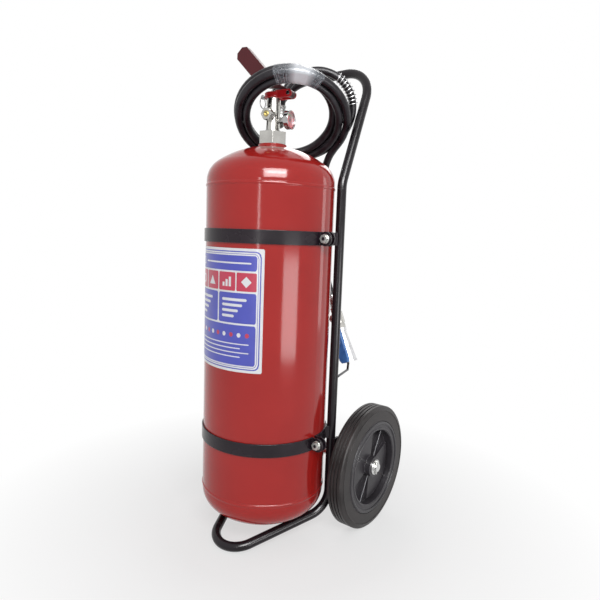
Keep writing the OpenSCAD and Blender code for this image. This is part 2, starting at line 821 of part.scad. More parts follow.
module valve_spring() {
  turns = 4;
  wire = 0.9;
  radius = well_r - 1.6;
  base = spring_z + wire + 0.2;
  rise = seat_z - 6 - wire - 0.2 - base;
  steps = 8 * turns;
  color(silver) on_valve() swept_tube([for (i = [0:steps])
    [radius * cos(360 * i / 8), radius * sin(360 * i / 8), base + rise * i / steps]], wire, 6);
}

module port_plug() {
  color(brass_yellow) on_valve() translate([0, 0, boss_z]) rotate([90, 0, 0]) difference() {
    union() {
      translate([0, 0, body_r + 2]) cylinder(r = plug_r, h = boss_len - body_r - 2);
      translate([0, 0, boss_len]) cylinder(r = plug_r - 1.5, h = 1.5);
    }
    translate([0, 0, boss_len - 1]) cylinder(r = 2.5, h = 4);
  }
}

module outlet_nut() {
  from = body_r + 3 + seat_gap;
  color(silver) on_valve() translate([0, 0, port_z]) rotate([-90, 0, 0]) difference() {
    translate([0, 0, from]) hexagon(outlet_af, outlet_t);
    translate([0, 0, from - through]) cylinder(r = elbow_r + run_gap, h = outlet_t + 2 * through);
  }
}

module outlet_elbow() {
  from = body_r + 3 + seat_gap;
  color(silver) on_valve() difference() {
    union() {
      translate([0, from, port_z]) rotate([-90, 0, 0]) cylinder(r = elbow_r, h = elbow_y - from);
      translate([0, elbow_y, port_z]) sphere(r = elbow_r, $fn = 48);
      translate([0, elbow_y, port_z]) cylinder(r = elbow_r, h = ferrule_z - port_z);
    }
    translate([0, from - through, port_z]) rotate([-90, 0, 0])
      cylinder(r = elbow_bore, h = elbow_y - from + through);
    translate([0, elbow_y, port_z]) sphere(r = elbow_bore, $fn = 48);
    translate([0, elbow_y, port_z]) cylinder(r = elbow_bore, h = ferrule_z - port_z + through);
  }
}

module outlet_ferrule() {
  color(silver) on_valve() translate([0, elbow_y, ferrule_z]) difference() {
    cylinder(r = ferrule_r, h = lead_z - ferrule_z);
    translate([0, 0, -through]) cylinder(r = elbow_bore, h = lead_z - ferrule_z + 2 * through);
    for (z = [7, 14, 21]) translate([0, 0, z])
      rotate_extrude() translate([ferrule_r + 1.5, 0]) circle(r = 2.5, $fn = 24);
  }
}

// ---------------------------------------------------------------- lever and safety pin

module lever() {
  axis = [-cos(lever_rise), sin(lever_rise)];
  square_to = [sin(lever_rise), cos(lever_rise)];
  half = lever_depth / 2;
  foot = [0, arm_z - half / cos(lever_rise) + 16];
  low = foot - half * square_to;
  // the arm's lower edge meets the underside here
  meet_x = (low[1] + low[0] * tan(lever_rise) - under_z(0)) / (tan(lever_rise) - tan(lever_slope));
  tip = foot + lever_len * axis;
  back = foot + (lever_len - 9) * axis;
  side_top = foot + 30 * axis + half * square_to;
  color(dark_red) on_valve() difference() {
    translate([0, lever_w / 2, 0]) rotate([90, 0, 0]) linear_extrude(height = lever_w) union() {
      translate([pivot_x, pivot_z]) circle(r = heel_eye_r - 0.5);
      polygon([[pivot_x + 5, pivot_z + 5], [pivot_x - 20, under_z(pivot_x - 20) + 8], side_top,
        back + half * square_to, tip + half / 2 * square_to, tip - half / 2 * square_to,
        back - half * square_to, [meet_x, under_z(meet_x)], [pivot_x - 4, under_z(pivot_x - 4)]]);
    }
    translate([pivot_x, -lever_w, pivot_z]) rotate([-90, 0, 0])
      cylinder(r = pivot_d / 2 + run_gap, h = 2 * lever_w);
  }
}

module lever_pin() {
  half = lever_w / 2 + ear_gap + ear_t;
  color(silver) on_valve() translate([pivot_x, 0, pivot_z]) rotate([90, 0, 0]) {
    translate([0, 0, -half - 2]) cylinder(r = pivot_d / 2, h = 2 * half + 2);
    translate([0, 0, half]) cylinder(r = pivot_d / 2 + 1.5, h = 2);
    translate([0, 0, -half - 3.5]) cylinder(r = pivot_d / 2 + 1.5, h = 1.5);
  }
}

module safety_pin() {
  color(silver) on_valve() translate([0, 0, pin_z]) difference() {
    union() {
      translate([-pin_out, 0, 0]) rotate([0, 90, 0]) cylinder(r = pin_r, h = pin_out + cap_d / 2 - 5);
      translate([-pin_out, -eye_t / 2, 0]) rotate([-90, 0, 0]) cylinder(r = eye_r, h = eye_t);
    }
    translate([-pin_out, -eye_t, 0]) rotate([-90, 0, 0]) cylinder(r = eye_hole_r, h = 2 * eye_t);
  }
}

module pull_ring() {
  color(silver) on_valve() translate([-pin_out, 0, ring_z]) rotate([0, 90, 0]) rotate_extrude()
    translate([ring_r, 0]) circle(r = ring_wire, $fn = 24);
}

// ---------------------------------------------------------------- gauge

// Puts a piece drawn upwards from the gauge's back onto its port
module on_gauge() {
  on_valve() translate([gauge_reach - gauge_t, 0, gauge_z]) rotate([0, 90, 0]) children();
}

module gauge_case() {
  color(silver) on_gauge() difference() {
    union() {
      cylinder(r = gauge_r - 1, h = 2);
      translate([0, 0, 1]) cylinder(r = gauge_r, h = gauge_t - 1);
      translate([0, 0, body_r - 4 - gauge_reach + gauge_t])
        cylinder(r = gauge_neck_r, h = gauge_reach - gauge_t - body_r + 5);
      translate([0, 0, body_r + 3 - gauge_reach + gauge_t])
        hexagon(gauge_af, gauge_reach - gauge_t - body_r - 6);
    }
    translate([0, 0, gauge_t - 6]) cylinder(r = gauge_r - 2, h = 7);
  }
}

module gauge_dial() {
  color(red) on_gauge() translate([0, 0, gauge_t - 6 + seat_gap]) difference() {
    cylinder(r = gauge_r - 2 - run_gap, h = 1);
    translate([0, 0, -through]) cylinder(r = 1 + run_gap, h = 3);
  }
}

module gauge_needle() {
  color(black) on_gauge() translate([0, 0, gauge_t - 5.6]) {
    cylinder(r = 1, h = 1.6);
    translate([0, 0, 1]) cylinder(r = 2.4, h = 1);
    translate([-gauge_r + 7, -0.6, 1.2]) cube([gauge_r - 3, 1.2, 0.6]);
  }
}

module gauge_lens() {
  color([0.9, 0.95, 1, 0.35]) on_gauge() translate([0, 0, gauge_t - 2.6])
    cylinder(r = gauge_r - 2 - run_gap, h = 1.6);
}

// ---------------------------------------------------------------- hose

// Centre line of the coil at a number of turns from its start. It spirals in to its middle and
// out again at a steady rate, and climbs to the front layer in the half turn about the middle
function smooth(x) = let (c = min(1, max(0, x))) c * c * (3 - 2 * c);
function coil_radius(t) = coil_r - turn_pitch * (coil_turns / 2 - abs(t - coil_turns / 2));
function coil_layer(t) = -layer_half + turn_pitch * smooth((t - coil_turns / 2 + 0.25) / 0.5);
function coil_at(t) = let (a = coil_start_a + 360 * t, r = coil_radius(t))
  coil_c + r * sin(a) * coil_right + r * cos(a) * coil_up + coil_layer(t) * coil_out;
coil_steps = round(24 * coil_turns);
coil_in = unit(coil_at(0.002) - coil_at(0));
coil_off = unit(coil_at(coil_turns) - coil_at(coil_turns - 0.002));
coil_begin = coil_at(0) - hose_d * coil_in;
coil_finish = coil_at(coil_turns) + hose_d * coil_off;
coil_path = concat([coil_begin],
  [for (i = [0:coil_steps]) coil_at(coil_turns * i / coil_steps)], [coil_finish]);

// Least gap between turns, on the rings' own centres, at least half a turn apart
coil_gap = min([for (i = [0:coil_steps]) for (j = [i + 12:1:coil_steps])
  norm(coil_path[i + 1] - coil_path[j + 1])]) - hose_d;
echo(coil_gap = coil_gap);

module hose_coil() {
  color(black) placed() swept_tube(coil_path, hose_d / 2, 6, side = coil_out,
    first = coil_in, last = coil_off);
}

lead_start = [-elbow_y * sin(valve_turn), elbow_y * cos(valve_turn), lead_z];
lead_path = concat([lead_start], [for (i = [1:len(lead_points) - 1]) lead_points[i]], [coil_begin]);
tail_path = concat([coil_finish], tail_points, [gun_end(24), gun_end(0)]);
// A point behind the nozzle's ferrule, on its axis
function gun_end(d) = gun_p - (valve_len + gun_ferrule_len + d) * [sin(gun_tilt), 0, -cos(gun_tilt)];

// A smooth line through points, with two points added in each stretch
function curve(p, i, u) =
  let (n = len(p) - 1, a = p[max(i - 1, 0)], b = p[i], c = p[min(i + 1, n)], d = p[min(i + 2, n)])
  0.5 * ((2 * b) + (c - a) * u + (2 * a - 5 * b + 4 * c - d) * u * u + (3 * b - a - 3 * c + d) * u * u * u);
function smooth_path(p) = concat([for (i = [0:len(p) - 2]) each [p[i], curve(p, i, 0.5)]], [p[len(p) - 1]]);

module hose_lead() {
  color(black) placed() swept_tube(smooth_path(lead_path), hose_d / 2, 10,
    side = [-1, 1, 0], first = [0, 0, 1], last = coil_in);
}

module hose_tail() {
  path = smooth_path(tail_path);
  color(black) placed() swept_tube(path, hose_d / 2, 10, side = [0, 1, 0], first = coil_off,
    last = gun_p - gun_end(0));
}

// The steel wire guard winds round the lead between two of its points
module hose_guard() {
  p = smooth_path(lead_path);
  n = len(p) - 1;
  steps = 12 * guard_turns;
  radius = hose_d / 2 + guard_gap + guard_wire;
  color(silver) placed() swept_tube([for (k = [0:steps])
    let (s = n * (guard_from + (guard_to - guard_from) * k / steps), i = floor(s), u = s - i,
      q = p[i] * (1 - u) + p[i + 1] * u, w = unit(heading(p, i) * (1 - u) + heading(p, i + 1) * u),
      v = unit(cross(w, [-1, 1, 0])), e = cross(v, w), a = 30 * k)
      q + radius * (cos(a) * e + sin(a) * v)], guard_wire, 6);
}

// Clear tape round the bundle of turns, over part of the coil's top
module coil_tape() {
  in_r = coil_r - turn_pitch * coil_turns / 2 - hose_d / 2 - 2 * soft_gap;
  out_r = coil_r + hose_d / 2 + 2 * soft_gap;
  half = layer_half + hose_d / 2 + 2 * soft_gap;
  color([0.85, 0.88, 0.9]) placed() multmatrix([
    [coil_right[0], coil_up[0], coil_out[0], coil_c[0]],
    [coil_right[1], coil_up[1], coil_out[1], coil_c[1]],
    [coil_right[2], coil_up[2], coil_out[2], coil_c[2]], [0, 0, 0, 1]])
    rotate([0, 0, 90 - tape_to]) rotate_extrude(angle = tape_to - tape_from, $fn = 96) difference() {
      translate([in_r - tape_t, -half - tape_t]) square([out_r - in_r + 2 * tape_t, 2 * (half + tape_t)]);
      translate([in_r, -half]) square([out_r - in_r, 2 * half]);
    }
}

// ---------------------------------------------------------------- nozzle

module nozzle_ferrule() {
  color(silver) on_gun() translate([0, 0, -valve_len - gun_ferrule_len]) difference() {
    cylinder(r = ferrule_r, h = gun_ferrule_len - seat_gap);
    translate([0, 0, -through]) cylinder(r = ball_bore_r, h = gun_ferrule_len + 2 * through);
    for (z = [8, 16, 24]) translate([0, 0, z])
      rotate_extrude() translate([ferrule_r + 1.5, 0]) circle(r = 2.5, $fn = 24);
  }
}

module nozzle_valve() {
  color(silver) on_gun() translate([0, 0, -valve_len]) difference() {
    union() {
      hexagon(gun_end_af, 14);
      translate([0, 0, 13]) cylinder(r = gun_body_r, h = valve_len - 26);
      translate([0, 0, valve_len - 14]) hexagon(gun_end_af, 14);
      translate([0, 0, valve_len / 2]) rotate([90, 0, 0]) cylinder(r = 8, h = grip_y - strip_t - 2);
    }
    translate([0, 0, -through]) cylinder(r = ball_bore_r, h = valve_len + 2 * through);
    translate([0, 0, valve_len / 2]) sphere(r = ball_r + run_gap, $fn = 48);
    translate([0, 0, valve_len / 2]) rotate([90, 0, 0]) cylinder(r = gun_stem_r + run_gap, h = grip_y);
  }
}

module nozzle_ball() {
  color(silver) on_gun() translate([0, 0, -valve_len / 2]) difference() {
    union() {
      sphere(r = ball_r, $fn = 48);
      rotate([90, 0, 0]) cylinder(r = gun_stem_r, h = grip_y + 6);
    }
    translate([0, 0, -2 * ball_r]) cylinder(r = ball_bore_r, h = 4 * ball_r);
  }
}

module nozzle_lever() {
  color(silver) on_gun() translate([0, -grip_y, -valve_len / 2]) rotate([90, 0, 0]) difference() {
    union() {
      cylinder(r = 10, h = strip_t, center = true);
      translate([-strip_w / 2, 0, -strip_t / 2]) cube([strip_w, grip_from + grip_len - 8, strip_t]);
    }
    cylinder(r = gun_stem_r + seat_gap, h = 3 * strip_t, center = true);
  }
}

module nozzle_grip() {
  color(blue) on_gun() translate([0, -grip_y, -valve_len / 2]) rotate([90, 0, 0]) difference() {
    translate([0, 0, -grip_t / 2]) linear_extrude(height = grip_t)
      polygon([[-grip_w / 2 + 3, grip_from], [grip_w / 2 - 3, grip_from], [grip_w / 2, grip_from + 6],
        [grip_flare / 2, grip_from + grip_len - 8], [grip_flare / 2 - 5, grip_from + grip_len],
        [5 - grip_flare / 2, grip_from + grip_len], [-grip_flare / 2, grip_from + grip_len - 8],
          [-grip_w / 2, grip_from + 6]]);
    translate([-strip_w / 2 - seat_gap, 0, -strip_t / 2 - seat_gap])
      cube([strip_w + 2 * seat_gap, grip_from + grip_len - 8 + seat_gap, strip_t + 2 * seat_gap]);
  }
}

module nozzle_lever_nut() {
  color(silver) on_gun() translate([0, -grip_y - strip_t / 2 - seat_gap, -valve_len / 2])
    rotate([90, 0, 0]) difference() {
    hexagon(12, 4);
    translate([0, 0, -through]) cylinder(r = gun_stem_r + seat_gap, h = 6);
  }
}

module nozzle_horn() {
  mouth_r = mouth_d / 2;
  color(silver) on_gun() translate([0, 0, seat_gap]) rotate_extrude()
    polygon([[ball_bore_r, 0], [gun_body_r - 2, 0], [gun_body_r - 2, 8],
      [horn_top_r, 9], [mouth_r, horn_len - 5],
      [mouth_r + 1, horn_len - 4], [mouth_r + 1, horn_len], [mouth_r - horn_wall, horn_len],
      [mouth_r - horn_wall, horn_len - mouth_bore_len], [ball_bore_r, 20]]);
}

module nozzle_hook() {
  bead = 0.3;
  color(black) placed() difference() {
    union() for (i = [0:len(hook_points) - 2]) {
      rod(hook_points[i], hook_points[i + 1], hook_r);
      translate(hook_points[i + 1]) sphere(r = hook_r + bead, $fn = 32);
    }
    translate([pole_x, pole_y, 0]) cylinder(r = tube_r + seat_gap, h = lean_z);
  }
}

// ---------------------------------------------------------------- the part

cylinder_shell();
neck_ring();
label();
siphon_tube();
neck_seal();
pole_left();
pole_right();
handle_bow();
foot_side_left();
foot_side_right();
foot_bow();
cradle_upper();
cradle_lower();
strap_upper();
strap_lower();
clamp_bolts();
clamp_nuts();
axle();
axle_bracket_left();
axle_bracket_right();
axle_spacers();
axle_washers();
split_pins();
tyre_left();
tyre_right();
rim_left();
rim_right();
bush_left();
bush_right();
valve_body();
valve_cap();
valve_stem();
valve_spring();
port_plug();
outlet_nut();
outlet_elbow();
outlet_ferrule();
lever();
lever_pin();
safety_pin();
pull_ring();
gauge_case();
gauge_dial();
gauge_needle();
gauge_lens();
hose_lead();
hose_coil();
hose_tail();
hose_guard();
coil_tape();
nozzle_ferrule();
nozzle_valve();
nozzle_ball();
nozzle_lever();
nozzle_grip();
nozzle_lever_nut();
nozzle_horn();
nozzle_hook();
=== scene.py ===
import math

import bmesh
import bpy
import numpy as np
from mathutils import Matrix, Vector


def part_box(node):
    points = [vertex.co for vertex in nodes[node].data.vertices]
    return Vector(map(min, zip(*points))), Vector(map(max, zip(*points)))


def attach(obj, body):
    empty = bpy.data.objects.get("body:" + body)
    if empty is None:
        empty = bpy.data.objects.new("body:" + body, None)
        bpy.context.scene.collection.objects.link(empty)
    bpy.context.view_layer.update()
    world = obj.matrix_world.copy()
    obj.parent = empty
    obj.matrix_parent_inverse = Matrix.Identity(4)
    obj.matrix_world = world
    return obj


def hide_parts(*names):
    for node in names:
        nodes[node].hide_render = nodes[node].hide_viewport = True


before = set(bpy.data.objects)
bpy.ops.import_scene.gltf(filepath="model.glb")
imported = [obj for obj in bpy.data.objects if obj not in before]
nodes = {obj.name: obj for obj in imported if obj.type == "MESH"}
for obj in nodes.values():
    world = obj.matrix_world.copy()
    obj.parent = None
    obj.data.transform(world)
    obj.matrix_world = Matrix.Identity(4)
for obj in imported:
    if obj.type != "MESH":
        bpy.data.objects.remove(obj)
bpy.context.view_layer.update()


# ---- Camera
# A short portrait lens stands in front of the label and to its right, a little above half height.
# It looks slightly down.
camera_data = bpy.data.cameras.new("camera")
camera_data.sensor_width = 36
camera_data.lens = 31.37
camera_at = (0.8254, -1.04465, 0.7372)
camera = bpy.data.objects.new("camera", camera_data)
bpy.context.scene.collection.objects.link(camera)
bpy.context.scene.camera = camera
look = Vector((-0.6042, 0.7873, -0.1230)).normalized()
side = Vector((0.7901, 0.6119, 0.0356)).normalized()
above = side.cross(look).normalized()
turned = Matrix((side, above, -look)).transposed().to_4x4()
camera.matrix_world = Matrix.Translation(camera_at) @ turned


# ---- Discharge hose
# One length of glossy black rubber hose. It rises from the valve's outlet, arches over to the
# right, lies in four turns round the valve, and hangs down behind the vessel to the nozzle.
HOSE_D = 0.018
CURVE_STEPS = 8
COIL_STEPS = 240
to_row = np.array([0, -0.09605, 0])
coil_turns = 3.972
coil_start = 130
climb_turns = 0.5
coil_r = 0.133
turn_pitch = 0.0186
coil_middle = np.array([0.023, 0.037, 1.010]) + to_row
coil_yaw = math.radians(38)
coil_lean = math.radians(50)
coil_right = np.array([math.cos(coil_yaw), math.sin(coil_yaw), 0])
coil_back = np.array([-math.sin(coil_yaw), math.cos(coil_yaw), 0])
coil_up = math.cos(coil_lean) * np.array([0, 0, 1]) - math.sin(coil_lean) * coil_back
coil_out = np.cross(coil_right, coil_up)


def coil_place(turn):
    """A point of the coil's centre line: it winds in, climbs to the front layer and winds out."""
    climb = min(1, max(0, (turn - coil_turns / 2 + climb_turns / 2) / climb_turns))
    layer = -turn_pitch / 2 + turn_pitch * climb * climb * (3 - 2 * climb)
    radius = coil_r - turn_pitch * (coil_turns / 2 - abs(turn - coil_turns / 2))
    a = math.radians(coil_start) + 2 * math.pi * turn
    outward = math.sin(a) * coil_right + math.cos(a) * coil_up
    return coil_middle + radius * outward + layer * coil_out


def unit(v):
    return v / np.linalg.norm(v)


def through_points(points, steps):
    """A smooth curve through given points, with so many steps from each to the next."""
    p = [2 * points[0] - points[1], *points, 2 * points[-1] - points[-2]]
    curve = []
    for a, b, c, d in zip(p, p[1:], p[2:], p[3:]):
        bend = 2 * a - 5 * b + 4 * c - d
        twist = 3 * b - a - 3 * c + d
        for k in range(steps):
            u = k / steps
            curve.append(0.5 * (2 * b + (c - a) * u + bend * u**2 + twist * u**3))
    return curve + [points[-1]]


valve_turn = math.radians(11)
outlet_out = 0.0360
outlet = np.array([-outlet_out * math.sin(valve_turn), outlet_out * math.cos(valve_turn), 0]) + to_row
outlet[2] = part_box("outlet_ferrule")[1].z
lead_set = [
    (-4, 37.2, 1059.6), (2.4, 41.4, 1078.2), (12.2, 48, 1094.2), (24.8, 56.4, 1107),
    (39.6, 66.2, 1116), (56.8, 77.6, 1120.6), (76, 90, 1119.6), (96.2, 104.2, 1111.2),
    (111.8, 116.8, 1097.2), (122, 127.6, 1079.2), (126.6, 135.8, 1059), (125.6, 142, 1038.2),
    (119, 146.6, 1017.8), (107.4, 150.2, 999.6), (92.2, 153, 984.8),
]
tail_set = [
    (56, 153, 935), (42, 160, 915), (32, 168, 888), (25, 176, 855), (20, 184, 818), (16, 191, 775),
    (14, 198, 730), (16, 203, 685), (24, 205, 642),
]
gun_base = np.array([0.0805, 0.205, 0.497]) + to_row
gun_tilt = math.radians(22.5)
gun_line = np.array([math.sin(gun_tilt), 0, -math.cos(gun_tilt)])
straight_from, hose_end = 0.114, 0.090
entry_turn = 0.002
coil_first, coil_last = coil_place(0), coil_place(coil_turns)
coil_entry = coil_first - HOSE_D * unit(coil_place(entry_turn) - coil_first)
coil_exit = coil_last + HOSE_D * unit(coil_last - coil_place(coil_turns - entry_turn))
lead_points = [outlet, *(np.array(p) / 1000 + to_row for p in lead_set), coil_entry]
tail_points = [
    coil_exit,
    *(np.array(p) / 1000 + to_row for p in tail_set),
    gun_base - straight_from * gun_line,
    gun_base - hose_end * gun_line,
]
lead_curve = through_points(lead_points, CURVE_STEPS)
tail_curve = through_points(tail_points, CURVE_STEPS)
coil_curve = [coil_place(coil_turns * k / COIL_STEPS) for k in range(COIL_STEPS + 1)]
hose_route = lead_curve + coil_curve + tail_curve


def lofted(name, rings, closed=False, caps=True):
    """A mesh skinned over rings of points that all have the same count, with its own length map."""
    mesh = bpy.data.meshes.new(name)
    count = len(rings[0])
    vertices = [tuple(p) for ring in rings for p in ring]
    faces = []
    spans = len(rings) if closed else len(rings) - 1
    for i in range(spans):
        j = (i + 1) % len(rings)
        for k in range(count):
            m = (k + 1) % count
            faces.append((i * count + k, i * count + m, j * count + m, j * count + k))
    if caps and not closed:
        faces.append(tuple(reversed(range(count))))
        faces.append(tuple((len(rings) - 1) * count + k for k in range(count)))
    mesh.from_pydata(vertices, [], faces)
    mesh.polygons.foreach_set("use_smooth", [len(f) == 4 for f in faces])
    uv = mesh.uv_layers.new(name="run")
    walls = spans * count
    for polygon in mesh.polygons:
        for n, loop in enumerate(polygon.loop_indices):
            if polygon.index < walls:
                i, k = divmod(polygon.index, count)
                uv.data[loop].uv = ((k + (n in (1, 2))) / count, (i + (n in (2, 3))) / spans)
    mesh.update()
    piece = bpy.data.objects.new(name, mesh)
    bpy.context.scene.collection.objects.link(piece)
    return piece


def swept(name, route, radius, sides):
    """A round bar carried along a route without twist."""
    p = np.array(route)
    ahead = np.gradient(p, axis=0)
    ahead /= np.linalg.norm(ahead, axis=1)[:, None]
    across = np.cross(ahead[0], (0.31, 0.77, 0.55))
    around = [2 * math.pi * k / sides for k in range(sides)]
    rings = []
    for q, d in zip(p, ahead):
        across = unit(across - d * (across @ d))
        up = np.cross(d, across)
        rings.append([q + radius * (math.cos(a) * across + math.sin(a) * up) for a in around])
    return lofted(name, rings)


def put(tree, kind, wires=None, **settings):
    """One shader node, its settings made and its sockets wired or set."""
    node = tree.nodes.new(kind)
    for key, value in settings.items():
        setattr(node, key, value)
    for socket, source in (wires or {}).items():
        if isinstance(source, bpy.types.NodeSocket):
            tree.links.new(source, node.inputs[socket])
        else:
            node.inputs[socket].default_value = source
    return node


def new_effect(name, inputs, outputs):
    """An empty shader node group with named number inputs and named outputs."""
    tree = bpy.data.node_groups.new(name, "ShaderNodeTree")
    for key, value in inputs.items():
        socket = tree.interface.new_socket(key, in_out="INPUT", socket_type="NodeSocketFloat")
        socket.default_value = value
    for key, kind in outputs.items():
        tree.interface.new_socket(key, in_out="OUTPUT", socket_type=kind)
    return tree, tree.nodes.new("NodeGroupInput"), tree.nodes.new("NodeGroupOutput")


def effect(tree, group, **values):
    """Places a shared effect in a material with its own values."""
    node = tree.nodes.new("ShaderNodeGroup")
    node.node_tree = group
    for key, value in values.items():
        socket = node.inputs[key.replace("_", " ")]
        if isinstance(value, bpy.types.NodeSocket):
            tree.links.new(value, socket)
        else:
            socket.default_value = value
    return node


def new_material(name):
    material = bpy.data.materials.new(name)
    material.use_nodes = True
    tree = material.node_tree
    tree.nodes.clear()
    return material, tree


def finish_with(tree, wires):
    """The Principled shader of a material, wired to its output."""
    shader = put(tree, "ShaderNodeBsdfPrincipled", wires)
    put(tree, "ShaderNodeOutputMaterial", {"Surface": shader.outputs["BSDF"]})


def two_tone(tree, mask, low, high):
    """A colour that goes from low, which may be a socket, to high with a mask."""
    mix = tree.nodes.new("ShaderNodeMix")
    mix.data_type = "RGBA"
    tree.links.new(mask, mix.inputs[0])
    if isinstance(low, bpy.types.NodeSocket):
        tree.links.new(low, mix.inputs[6])
    else:
        mix.inputs[6].default_value = (*low, 1)
    mix.inputs[7].default_value = (*high, 1)
    return mix.outputs[2]


def maths(tree, operation, first, second, **settings):
    """One step of arithmetic on numbers or sockets."""
    wires = {0: first, 1: second}
    return put(tree, "ShaderNodeMath", wires, operation=operation, **settings).outputs[0]


def noise(tree, place, scale, detail):
    """The value of a noise texture at a place."""
    wires = {"Vector": place, "Scale": scale, "Detail": detail}
    return put(tree, "ShaderNodeTexNoise", wires).outputs["Fac"]


def between(tree, mask, low, high):
    """A number that goes from low to high with a mask."""
    node = put(tree, "ShaderNodeMapRange", {"Value": mask, "To Min": low, "To Max": high})
    return node.outputs["Result"]


# Cloudy variation and fine specks, such as handling marks, haze and settled dust
mottle, mottle_in, mottle_out = new_effect(
    "mottle",
    {"Scale": 20, "Contrast": 0.5, "Speck Scale": 400},
    {"Cloud": "NodeSocketFloat", "Speck": "NodeSocketFloat"},
)
place = put(mottle, "ShaderNodeTexCoord").outputs["Object"]
cloud = noise(mottle, place, mottle_in.outputs["Scale"], 5.0)
spread = maths(mottle, "SUBTRACT", cloud, 0.5)
spread = maths(mottle, "MULTIPLY", spread, mottle_in.outputs["Contrast"])
spread = maths(mottle, "MULTIPLY", spread, 4.0)
spread = maths(mottle, "ADD", spread, 0.5, use_clamp=True)
specks = noise(mottle, place, mottle_in.outputs["Speck Scale"], 2.0)
mottle.links.new(spread, mottle_out.inputs["Cloud"])
mottle.links.new(specks, mottle_out.inputs["Speck"])

# Wear on outer edges: where a rounded normal departs from the true one, broken up by noise
edge_wear, edge_in, edge_out = new_effect(
    "edge wear",
    {"Radius": 0.001, "Amount": 0.5, "Scale": 120},
    {"Mask": "NodeSocketFloat", "Rounded": "NodeSocketVector"},
)
rounded = put(edge_wear, "ShaderNodeBevel", {"Radius": edge_in.outputs["Radius"]}, samples=6)
truth = put(edge_wear, "ShaderNodeNewGeometry")
agree = put(
    edge_wear,
    "ShaderNodeVectorMath",
    {0: rounded.outputs["Normal"], 1: truth.outputs["Normal"]},
    operation="DOT_PRODUCT",
)
depart = maths(edge_wear, "SUBTRACT", 1.0, agree.outputs["Value"])
place = put(edge_wear, "ShaderNodeTexCoord").outputs["Object"]
broken = noise(edge_wear, place, edge_in.outputs["Scale"], 4.0)
worn = maths(edge_wear, "MULTIPLY", depart, broken)
worn = maths(edge_wear, "MULTIPLY", worn, edge_in.outputs["Amount"])
worn = maths(edge_wear, "MULTIPLY", worn, 14.0, use_clamp=True)
edge_wear.links.new(worn, edge_out.inputs["Mask"])
edge_wear.links.new(rounded.outputs["Normal"], edge_out.inputs["Rounded"])

hose_rubber, tree = new_material("hose_rubber")
run = put(tree, "ShaderNodeTexCoord").outputs["UV"]
stretch = put(tree, "ShaderNodeMapping", {"Vector": run, "Scale": (60.0, 2600.0, 1.0)})
wrap = noise(tree, stretch.outputs["Vector"], 1.0, 2.0)
haze = effect(tree, mottle, Scale=35, Contrast=0.7, Speck_Scale=900)
bump = put(tree, "ShaderNodeBump", {"Height": wrap, "Strength": 0.25, "Distance": 0.0004})
hose_dark, hose_pale = (0.009, 0.007, 0.010), (0.024, 0.021, 0.026)
finish_with(
    tree,
    {
        "Base Color": two_tone(tree, haze.outputs["Cloud"], hose_dark, hose_pale),
        "Roughness": between(tree, haze.outputs["Cloud"], 0.24, 0.42),
        "Normal": bump.outputs["Normal"],
        "Specular IOR Level": 0.28,
    },
)

hose = swept("hose", hose_route, HOSE_D / 2, 24)
hose.data.materials.append(hose_rubber)
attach(hose, "trolley")
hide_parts("hose_lead", "hose_coil", "hose_tail")


# ---- Spring guard
# A close wire spring slipped over the hose where it arches, so that the bend doesn't kink. It is
# bright spring steel and grips the cover by itself.
guard_from, guard_to = 8.3, 11.6
guard_turns = 9
guard_steps = 24
guard_wire = 0.0013
guard_gap = 0.0008
guard_r = HOSE_D / 2 + guard_gap + guard_wire
guard_route = []
for k in range(guard_turns * guard_steps + 1):
    s = (guard_from + (guard_to - guard_from) * k / (guard_turns * guard_steps)) * CURVE_STEPS
    i = int(s)
    here = lead_curve[i] * (1 - s + i) + lead_curve[i + 1] * (s - i)
    along = unit(lead_curve[i + 2] - lead_curve[i - 1])
    level = unit(np.cross(along, (-1, 1, 0)))
    upright = np.cross(level, along)
    turn = 2 * math.pi * k / guard_steps
    guard_route.append(here + guard_r * (math.cos(turn) * upright + math.sin(turn) * level))

# Turned or drawn metal: fine parallel lines, and a slow change of brightness
drawn_lines, drawn_in, drawn_out = new_effect(
    "drawn lines",
    {"Scale": 300, "Stretch": 12},
    {"Line": "NodeSocketFloat", "Tone": "NodeSocketFloat"},
)
place = put(drawn_lines, "ShaderNodeTexCoord").outputs["Object"]
apart = put(drawn_lines, "ShaderNodeSeparateXYZ", {"Vector": place})
tall = maths(drawn_lines, "MULTIPLY", apart.outputs["Z"], drawn_in.outputs["Stretch"])
joined = put(
    drawn_lines, "ShaderNodeCombineXYZ", {"X": apart.outputs["X"], "Y": apart.outputs["Y"], "Z": tall}
)
line = noise(drawn_lines, joined.outputs["Vector"], drawn_in.outputs["Scale"], 3.0)
tone = noise(drawn_lines, place, 45.0, 3.0)
drawn_lines.links.new(line, drawn_out.inputs["Line"])
drawn_lines.links.new(tone, drawn_out.inputs["Tone"])


def relief_on(tree, height, edges, strength, distance):
    """Fine surface relief laid over the rounded edges."""
    wires = {"Height": height, "Strength": strength, "Distance": distance}
    wires["Normal"] = edges.outputs["Rounded"]
    return put(tree, "ShaderNodeBump", wires).outputs["Normal"]


def metal_finish(name, dull, bright, rough):
    """Bare or plated metal with drawn lines, rounded edges and an uneven shine."""
    material, tree = new_material(name)
    grain = effect(tree, drawn_lines, Scale=300, Stretch=12)
    haze = effect(tree, mottle, Scale=60, Contrast=0.6, Speck_Scale=500)
    edges = effect(tree, edge_wear, Radius=0.0008, Amount=0.6, Scale=200)
    relief = relief_on(tree, grain.outputs["Line"], edges, 0.3, 0.00003)
    finish_with(
        tree,
        {
            "Base Color": two_tone(tree, grain.outputs["Tone"], dull, bright),
            "Roughness": between(tree, haze.outputs["Cloud"], rough * 0.7, rough * 1.4),
            "Metallic": 1.0,
            "Normal": relief,
        },
    )
    return material


